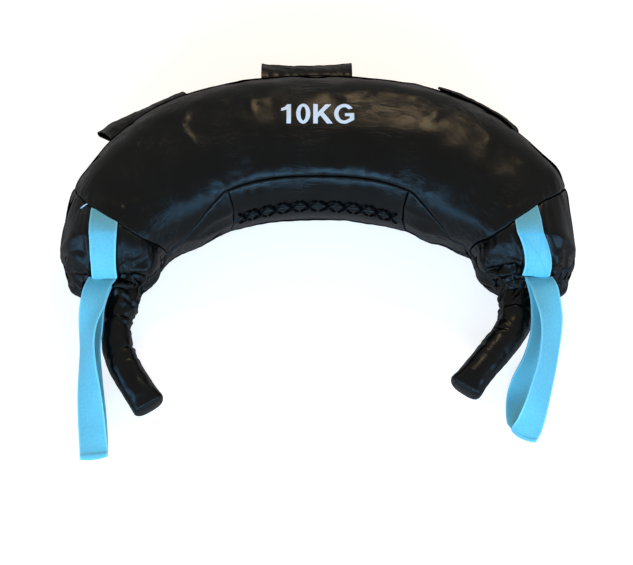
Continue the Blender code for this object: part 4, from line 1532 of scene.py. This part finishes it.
def make_hand_loop(side):
    """The hanging loop: one tape that goes down from the stitches and comes back under itself."""
    sign = SIDES[side]
    out, ahead, height, roll, yaw = catmull_rom(LOOPS[side], 7).T
    roll = np.radians(roll)
    yaw = np.radians(yaw)
    centres = np.stack([STRAP_X[side] + sign * out, STITCH_LINE_Y + ahead, height], -1)
    across = np.stack(
        [sign * np.cos(roll) * np.cos(yaw), -np.sin(yaw) * np.cos(roll), -np.sin(roll)], -1
    )
    along = np.gradient(centres, axis=0)
    along /= np.linalg.norm(along, axis=1, keepdims=True)
    normal = np.cross(along, across)
    normal /= np.linalg.norm(normal, axis=1, keepdims=True)
    v = np.linspace(-0.5, 0.5, 13)
    run = run_of(centres[:, None], 0)[:, 0]
    middle = np.sin(pi * run / run[-1])
    uneven = ripple(run[:, None] / 0.045 + v[None] * 1.5, 2.0 if sign < 0 else 6.0)
    wave = 0.0005 * middle[:, None] * uneven
    cupped = 0.0006 * (4 * v[None] ** 2 - 1) * middle[:, None]
    points = centres[:, None] + across[:, None] * (v[None] * WEBBING_WIDTH)[..., None]
    points = points + normal[:, None] * (wave + cupped)[..., None]
    # the edges draw back where the tape turns over at the tip, which rounds its corners
    tip = int(np.argmin(centres[:, 1]))
    onward = centres[tip] - centres[tip - 20]
    onward[2] = 0.0
    drawn = LOOP_TIP_ROUND[side] * bump(run - run[tip], 0.0, 0.011)[:, None] * 4 * v[None] ** 2
    points = points - (onward / np.linalg.norm(onward)) * drawn[..., None]
    points[..., 2] = np.maximum(points[..., 2], WEBBING / 2 + 0.0001)
    cut = points.shape[:2]
    across_cut = np.broadcast_to(v * WEBBING_WIDTH, cut)
    obj = cut_sheet(points, across_cut, np.broadcast_to(run[:, None], cut), 0)
    wall = obj.modifiers.new("tape", "SOLIDIFY")
    wall.thickness = WEBBING
    wall.offset = 0
    apply_modifiers(obj)
    finish_piece(obj, f"hand_loop_{side}_tape", webbing, None, [f"hand_loop_{side}"])
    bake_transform(obj)


for side in SIDES:
    make_anchor(side)
    make_hand_loop(side)

# a short white strand at the start of the left end seam: a loose thread end, and a painted glint
# there
thread_glint_route = surface(np.linspace(-0.917, -0.903, 5), np.linspace(126.0, 115.5, 5), 0.0006)
stitches("loose_thread_and_glint", [thread_glint_route], THREAD_GLINT_RADIUS, white_thread_glint, THREAD_GLINT_LENGTH)

# Lacing: two strands that cross over the slit, in at one hole and out at the next
LACE_RADIUS = 0.00115
LACE_SIDES = 10
LACE_PITCHES = 10
LACE_STEPS = 16
LACE_HALF_ANGLE = 5.8
LACE_HALF_LENGTH = 0.375
LACE_INTO_HOLE = 0.0028
LACE_OVER = 2.1 * LACE_RADIUS


def lace_route(strand):
    """A strand's places: through a hole at each side in turn, and across between them."""
    share = np.arange(LACE_PITCHES * LACE_STEPS + 1) / LACE_STEPS
    leg = np.floor(share).astype(int)
    w = share - leg
    side = np.where((leg + strand) % 2 == 0, 1.0, -1.0)
    uneven = 1 + 0.10 * ripple(share, 4.0 + 5 * strand)
    swing = side * LACE_HALF_ANGLE * np.cos(pi * w) * uneven
    t = mix(-LACE_HALF_LENGTH, LACE_HALF_LENGTH, share / LACE_PITCHES)
    t = t + 0.004 * ripple(share * 0.8, 9.0 + strand)
    into_hole = bump(np.minimum(w, 1 - w), 0.0, 0.075)
    crossing = bump(w, 0.5, 0.16) * ((leg + strand) % 2)
    lift = LACE_RADIUS + 0.0003 - LACE_INTO_HOLE * into_hole + LACE_OVER * crossing
    return surface(t, closure_line(t) + swing, lift)[0]


def make_lace(strand):
    """A round cord along its route, closed at both ends."""
    route = lace_route(strand)
    forward = np.gradient(route, axis=0)
    forward /= np.linalg.norm(forward, axis=1, keepdims=True)
    level = np.cross(forward, (0, 0.6, 0.8))
    level /= np.linalg.norm(level, axis=1, keepdims=True)
    up = np.cross(level, forward)
    angle = np.linspace(0, 360, LACE_SIDES + 1)
    way = circle(level[:, None], up[:, None], angle[None])
    size = np.full(len(route), LACE_RADIUS)
    size[0] = size[-1] = 0.0
    rings = route[:, None] + way * size[:, None, None]
    grid = rings.shape[:2]
    across = np.broadcast_to(angle[None] / 360 * 2 * pi * LACE_RADIUS, grid)
    along = np.broadcast_to(run_of(route[:, None], 0), grid)
    obj = cut_sheet(rings, across, along, 0, closed=True)
    face_outwards(obj)
    finish_piece(obj, f"lace_strand_{strand + 1}", lace, "bag", ["lacing_cord"])


for strand in (0, 1):
    make_lace(strand)

# Grips: a strip folded double, its two edges held in the outer seam
GRIP_LENGTH = 0.104
GRIP_HEIGHT = 0.045
GRIP_CREST_SAG = 0.005
GRIP_BEAD = 0.0016
GRIP_PLY = 0.0013
GRIP_LEAST = GRIP_PLY + 0.0003
GRIP_WALL = 0.0012
GRIP_HINGE_OUT = 0.0046
# how much paler the crest and the ends are painted: partly rubbed wear, partly painted highlight
GRIP_WEAR_HIGHLIGHT = 0.12
SEWN_EDGE_WALL = 0.0022
SEWN_EDGE_LIFT = -0.0016
# its place, half its thickness, how far it leans in degrees at the seam and at the crest (None
# where it is folded up on the rim), how much more it droops at one end, how far its ends flare,
# how flat they are squeezed, how much taller it is, and how crumpled
GRIPS = {
    "centre": {
        "t": -0.0145, "puff": 0.0090, "lean": (-12.0, -24.0), "droop": 0.0, "flare": 0.0014,
        "pinch": (0.0, 0.0), "taller": 0.0, "crumple": 0.0007, "seed": 2.0,
    },
    "left": {
        "t": -0.436, "puff": 0.0090, "lean": (-39.5, -56.0), "droop": -8.0, "flare": 0.0006,
        "pinch": (0.72, 0.2), "taller": 0.0, "crumple": 0.0007, "seed": 5.0,
    },
    "right": {
        "t": 0.430, "puff": 0.0022, "lean": None, "droop": 0.0, "flare": 0.0,
        "pinch": (0.9, 0.9), "taller": 0.0065, "crumple": 0.0006, "seed": 7.0,
    },
}


def grip_frame(grip):
    """The middle of a grip's hinge, and the ways along the seam and out of it."""
    seam = np.array(180.0)
    near, centre, far = (plain_skin(np.array(grip["t"] + step), seam) for step in (-0.01, 0, 0.01))
    ahead = far - near
    ahead[2] = 0.0
    along = ahead / np.linalg.norm(ahead)
    out = np.array((-along[1], along[0], 0.0))
    return centre + out * GRIP_HINGE_OUT, along, out


def grip_half(grip, height, s):
    """Half a grip's thickness at that height above its hinge line."""
    belly = np.maximum(0.0, np.sin(pi * np.clip(s / height, 0, 1) ** 0.8))
    swollen = np.maximum(GRIP_LEAST, grip["puff"] * belly**0.75)
    bead = np.sqrt(np.maximum(0, GRIP_BEAD**2 - np.minimum(s, 0) ** 2))
    return np.where(s < GRIP_BEAD, bead, swollen)


def seam_place(grip, straight):
    """The places on the outer seam beside the points of the grip's straight hinge line."""
    t = np.full(straight.shape[:-1], grip["t"])
    seam = np.full(t.shape, 180.0)
    for _ in range(12):
        here = plain_skin(t, seam)
        ahead = plain_skin(t + 0.01, seam) - here
        t = t + ((straight - here) * ahead).sum(-1) / (ahead**2).sum(-1) * 0.01
    return t


def hanging_strip(grip, hinge, along, out, grid_x, s, height):
    """The middle of a folded strip that hangs off its seam, and the way through its thickness."""
    x = np.zeros_like(s)
    z = np.zeros_like(s)
    count = 12
    droop = grip["droop"] * grid_x * smooth(s, 0.0, 0.02)
    for k in range(count):
        a = np.radians(mix(*grip["lean"], s * (k + 0.5) / count / height) + droop)
        x += np.cos(a) * s / count
        z += np.sin(a) * s / count
    a = np.radians(mix(*grip["lean"], s / height) + droop)[..., None]
    upright = np.array((0, 0, 1.0))
    middle = hinge + along * (grid_x * GRIP_LENGTH / 2)[..., None]
    middle = middle + out * x[..., None] + upright * z[..., None]
    return middle, np.cos(a) * upright - np.sin(a) * out


def laid_strip(grip, hinge, along, grid_x, s, half):
    """The middle of a strip that is folded up against the bag, over the rim's own curve."""
    t = seam_place(grip, hinge + along * (grid_x * GRIP_LENGTH / 2)[..., None])
    turns = np.linspace(181, 105, 77)
    path = plain_skin(np.repeat(t[:, :1], len(turns), 1), np.repeat(turns[None], len(t), 0))
    run = run_of(path, 1)
    phi = np.stack([np.interp(at + run[k, 1], run[k], turns) for k, at in enumerate(s)])
    lift = mix(GRIP_HINGE_OUT, np.maximum(half, GRIP_PLY) + 0.0006, smooth(s, 0.001, 0.010))
    return surface(t, phi, lift)


def make_grip(name):
    grip = GRIPS[name]
    seed = grip["seed"]
    hinge, along, out = grip_frame(grip)
    # up one face from below the hinge line to the crest, and down the other
    stops = np.concatenate([[-0.034, 0.0, 0.05], np.linspace(0.1, 0.9, 19), [0.95, 0.985, 1.0]])
    outline = np.concatenate([stops, stops[-2::-1]])
    upper = np.concatenate([np.ones(len(stops)), -np.ones(len(stops) - 1)])
    upper[len(stops) - 1] = 0.0
    grid_x, grid_s = np.meshgrid(np.linspace(-1, 1, 61), outline, indexing="ij")
    from_end = 1 - np.abs(grid_x)
    height = GRIP_HEIGHT - GRIP_CREST_SAG * (1 - grid_x**2) + 0.0007 * ripple(grid_x * 2.2, seed)
    height = height + grip["taller"] + 1.5 * grip["crumple"] * ripple(grid_x * 5.5, seed + 2)
    s = grid_s * height
    half = grip_half(grip, height, s)
    half = np.where(grid_s > 0.93, half * np.sqrt(np.clip((1.0 - grid_s) / 0.07, 0, 1)), half)
    # crimps that run up from the sewn edge, soft hollows, and ends that flare open
    belly = np.sin(pi * np.clip(grid_s, 0, 1))
    crimp = 0.0003 * np.sin(grid_x * 24 + 3.0 * ripple(grid_x * 4, seed)) * bump(grid_s, 0.0, 0.35)
    flare = grip["flare"] * np.exp(-(from_end / 0.06)) * belly
    soft = 0.0008 * ripple(grid_x * 1.7 + upper[None] * 7 + grid_s * 4.5, seed + 1) * belly
    crumple = ripple(grid_x * 6.5 + 2.2 * grid_s + upper[None] * 3, seed + 4)
    crumple = crumple + 0.6 * ripple(grid_s * 6 + 1.5 * grid_x + upper[None] * 5, seed + 6)
    relief = crimp + flare + soft + grip["crumple"] * crumple * belly
    half = half + relief * (grid_s > 0.02) * (grid_s < 0.93)
    # a worn end that has been squeezed flat
    ends = np.where(grid_x < 0, *grip["pinch"]) * bump(from_end, 0.0, 0.16)
    half = mix(half, np.minimum(half, GRIP_LEAST), ends * (grid_s > 0.02))
    if grip["lean"]:
        middle, through = hanging_strip(grip, hinge, along, out, grid_x, s, height)
    else:
        middle, through = laid_strip(grip, hinge, along, grid_x, s, half)
    points = middle + through * (half * upper[None])[..., None]
    # the crest and the ends painted paler: partly rubbed wear, partly painted highlight
    wear_and_highlight = np.clip(GRIP_WEAR_HIGHLIGHT * bump(grid_s, 1.0, 0.05) + GRIP_WEAR_HIGHLIGHT * np.exp(-(from_end / 0.02)), 0, 1)
    run = run_of(points, 1)
    obj = cut_sheet(points[:, ::-1], run[:, ::-1], grid_x * GRIP_LENGTH / 2, GRIP_WALL, wear_and_highlight)
    finish_piece(obj, f"grip_{name}", leather, f"{name}_grip", [f"grip_sleeve_{name}"])


def make_sewn_edge(name):
    """A grip's edge between the outer seam and the hinge line, crimped by its stitches."""
    grip = GRIPS[name]
    hinge, along, out = grip_frame(grip)
    u, v = np.meshgrid(np.linspace(-1, 1, 53), np.linspace(0, 1, 7), indexing="ij")
    straight = hinge + along * (u * GRIP_LENGTH / 2)[..., None] - out * 0.0008
    t = seam_place(grip, straight)
    inner, _ = surface(t, np.full(t.shape, 180.0), SEWN_EDGE_LIFT)
    root = inner + (straight - inner) * v[..., None]
    crimps = 0.0006 * np.sin(u * 30 + 2.4 * ripple(u * 5, grip["seed"] + 3)) * np.sin(pi * v)
    off = mix(root[..., 2] - straight[..., 2], 0, smooth(v, 0.0, 0.8))
    root[..., 2] = straight[..., 2] + off + crimps + 0.0011
    obj = cut_sheet(root, u * GRIP_LENGTH / 2, v * 0.006, SEWN_EDGE_WALL)
    finish_piece(obj, f"grip_{name}_sewn_edge", leather, None, [f"grip_root_{name}"])
    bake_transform(obj)


for name in GRIPS:
    make_grip(name)
    make_sewn_edge(name)

# The weight, screen printed in plain bold capitals
MARK_ACROSS = (-0.0400, 0.0390)
MARK_UP = (0.0950, 0.1202)
MARK_GRID = 0.002
INK_LIFT = 0.00022
INK = 0.0002
ABOVE_BAG = 0.4
ARC_POINTS = 26


def arc(start, end, rx, ry):
    """Points on an oval round the middle of a letter's square."""
    turns = np.radians(np.linspace(start, end, ARC_POINTS))
    return [(0.5 + rx * cos(a), 0.5 + ry * sin(a)) for a in turns]


# each sign's outlines, in the square that it fills
ONE = [
    [
        (0, 0.66), (0, 0.79), (0.34, 0.86), (0.62, 1), (1, 1), (1, 0), (0.56, 0), (0.56, 0.73),
        (0.29, 0.68),
    ],
]
ZERO = [arc(0, 346, 0.5, 0.51), arc(0, 346, 0.19, 0.36)]
LETTER_K = [
    [
        (0, 0), (0, 1), (0.235, 1), (0.235, 0.57), (0.64, 1), (0.93, 1), (0.52, 0.58),
        (1, 0), (0.70, 0), (0.355, 0.42), (0.235, 0.29), (0.235, 0),
    ],
]
LETTER_G = [
    [
        *arc(33, 303, 0.5, 0.51),
        (1, 0.18), (1, 0.53), (0.54, 0.53), (0.54, 0.38), (0.78, 0.38), (0.78, 0.27),
        *arc(300, 42, 0.285, 0.35),
    ],
]
# where each starts in the mark's width, and how wide it is
SIGNS = ((0.0, 0.136, ONE), (0.206, 0.194, ZERO), (0.440, 0.266, LETTER_K), (0.726, 0.274, LETTER_G))


def print_weight(panel):
    """A film of ink in the form of the mark, laid on the panel from above."""
    outline = bpy.data.curves.new("weight_mark", "CURVE")
    outline.dimensions = "2D"
    outline.fill_mode = "BOTH"
    for start, width, loops in SIGNS:
        for loop in loops:
            line = outline.splines.new("POLY")
            line.use_cyclic_u = True
            line.points.add(len(loop) - 1)
            for point, (x, y) in zip(line.points, loop):
                point.co = (mix(*MARK_ACROSS, start + width * x), mix(*MARK_UP, y), 0, 1)
    mark = bpy.data.objects.new("weight_mark", outline)
    scene.collection.objects.link(mark)
    select_only(mark)
    bpy.ops.object.convert(target="MESH")
    mark = bpy.context.object
    bpy.ops.object.mode_set(mode="EDIT")
    for axis, (start, end) in enumerate((MARK_ACROSS, MARK_UP)):
        for k in range(1, int((end - start) / MARK_GRID)):
            point = [0.0, 0.0, 0.0]
            way = [0.0, 0.0, 0.0]
            point[axis] = start + MARK_GRID * k
            way[axis] = 1.0
            bpy.ops.mesh.select_all(action="SELECT")
            bpy.ops.mesh.bisect(plane_co=point, plane_no=way)
    bpy.ops.object.mode_set(mode="OBJECT")
    leather_below = BVHTree.FromObject(panel, bpy.context.evaluated_depsgraph_get())
    for vertex in mark.data.vertices:
        above = Vector((vertex.co.x, vertex.co.y, ABOVE_BAG))
        hit, normal, _, _ = leather_below.ray_cast(above, Vector((0, 0, -1)))
        vertex.co = hit + normal * INK_LIFT
    film = mark.modifiers.new("film", "SOLIDIFY")
    film.thickness = INK
    film.offset = -1
    apply_modifiers(mark)
    finish_piece(mark, "weight_mark", ink, "bag")


print_weight(front_panel_cover)

# the CAD nodes' finishes, by how their names start; the others are leather
CAD_FINISHES = {
    "closure_backing": canvas,
    "sand_liner": canvas,
    "liner_mouth_patch": canvas,
    "lacing_cord": lace,
    "wadding": wadding,
    "end_stuffing": wadding,
    "sand_fill": sand,
    "handle_core": felt,
    "hand_loop": webbing,
    "strap_anchor": webbing,
}
for node_name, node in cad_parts.items():
    found = [finish for start, finish in CAD_FINISHES.items() if node_name.startswith(start)]
    finish = found[0] if found else leather
    node.data.materials.clear()
    node.data.materials.append(finish)
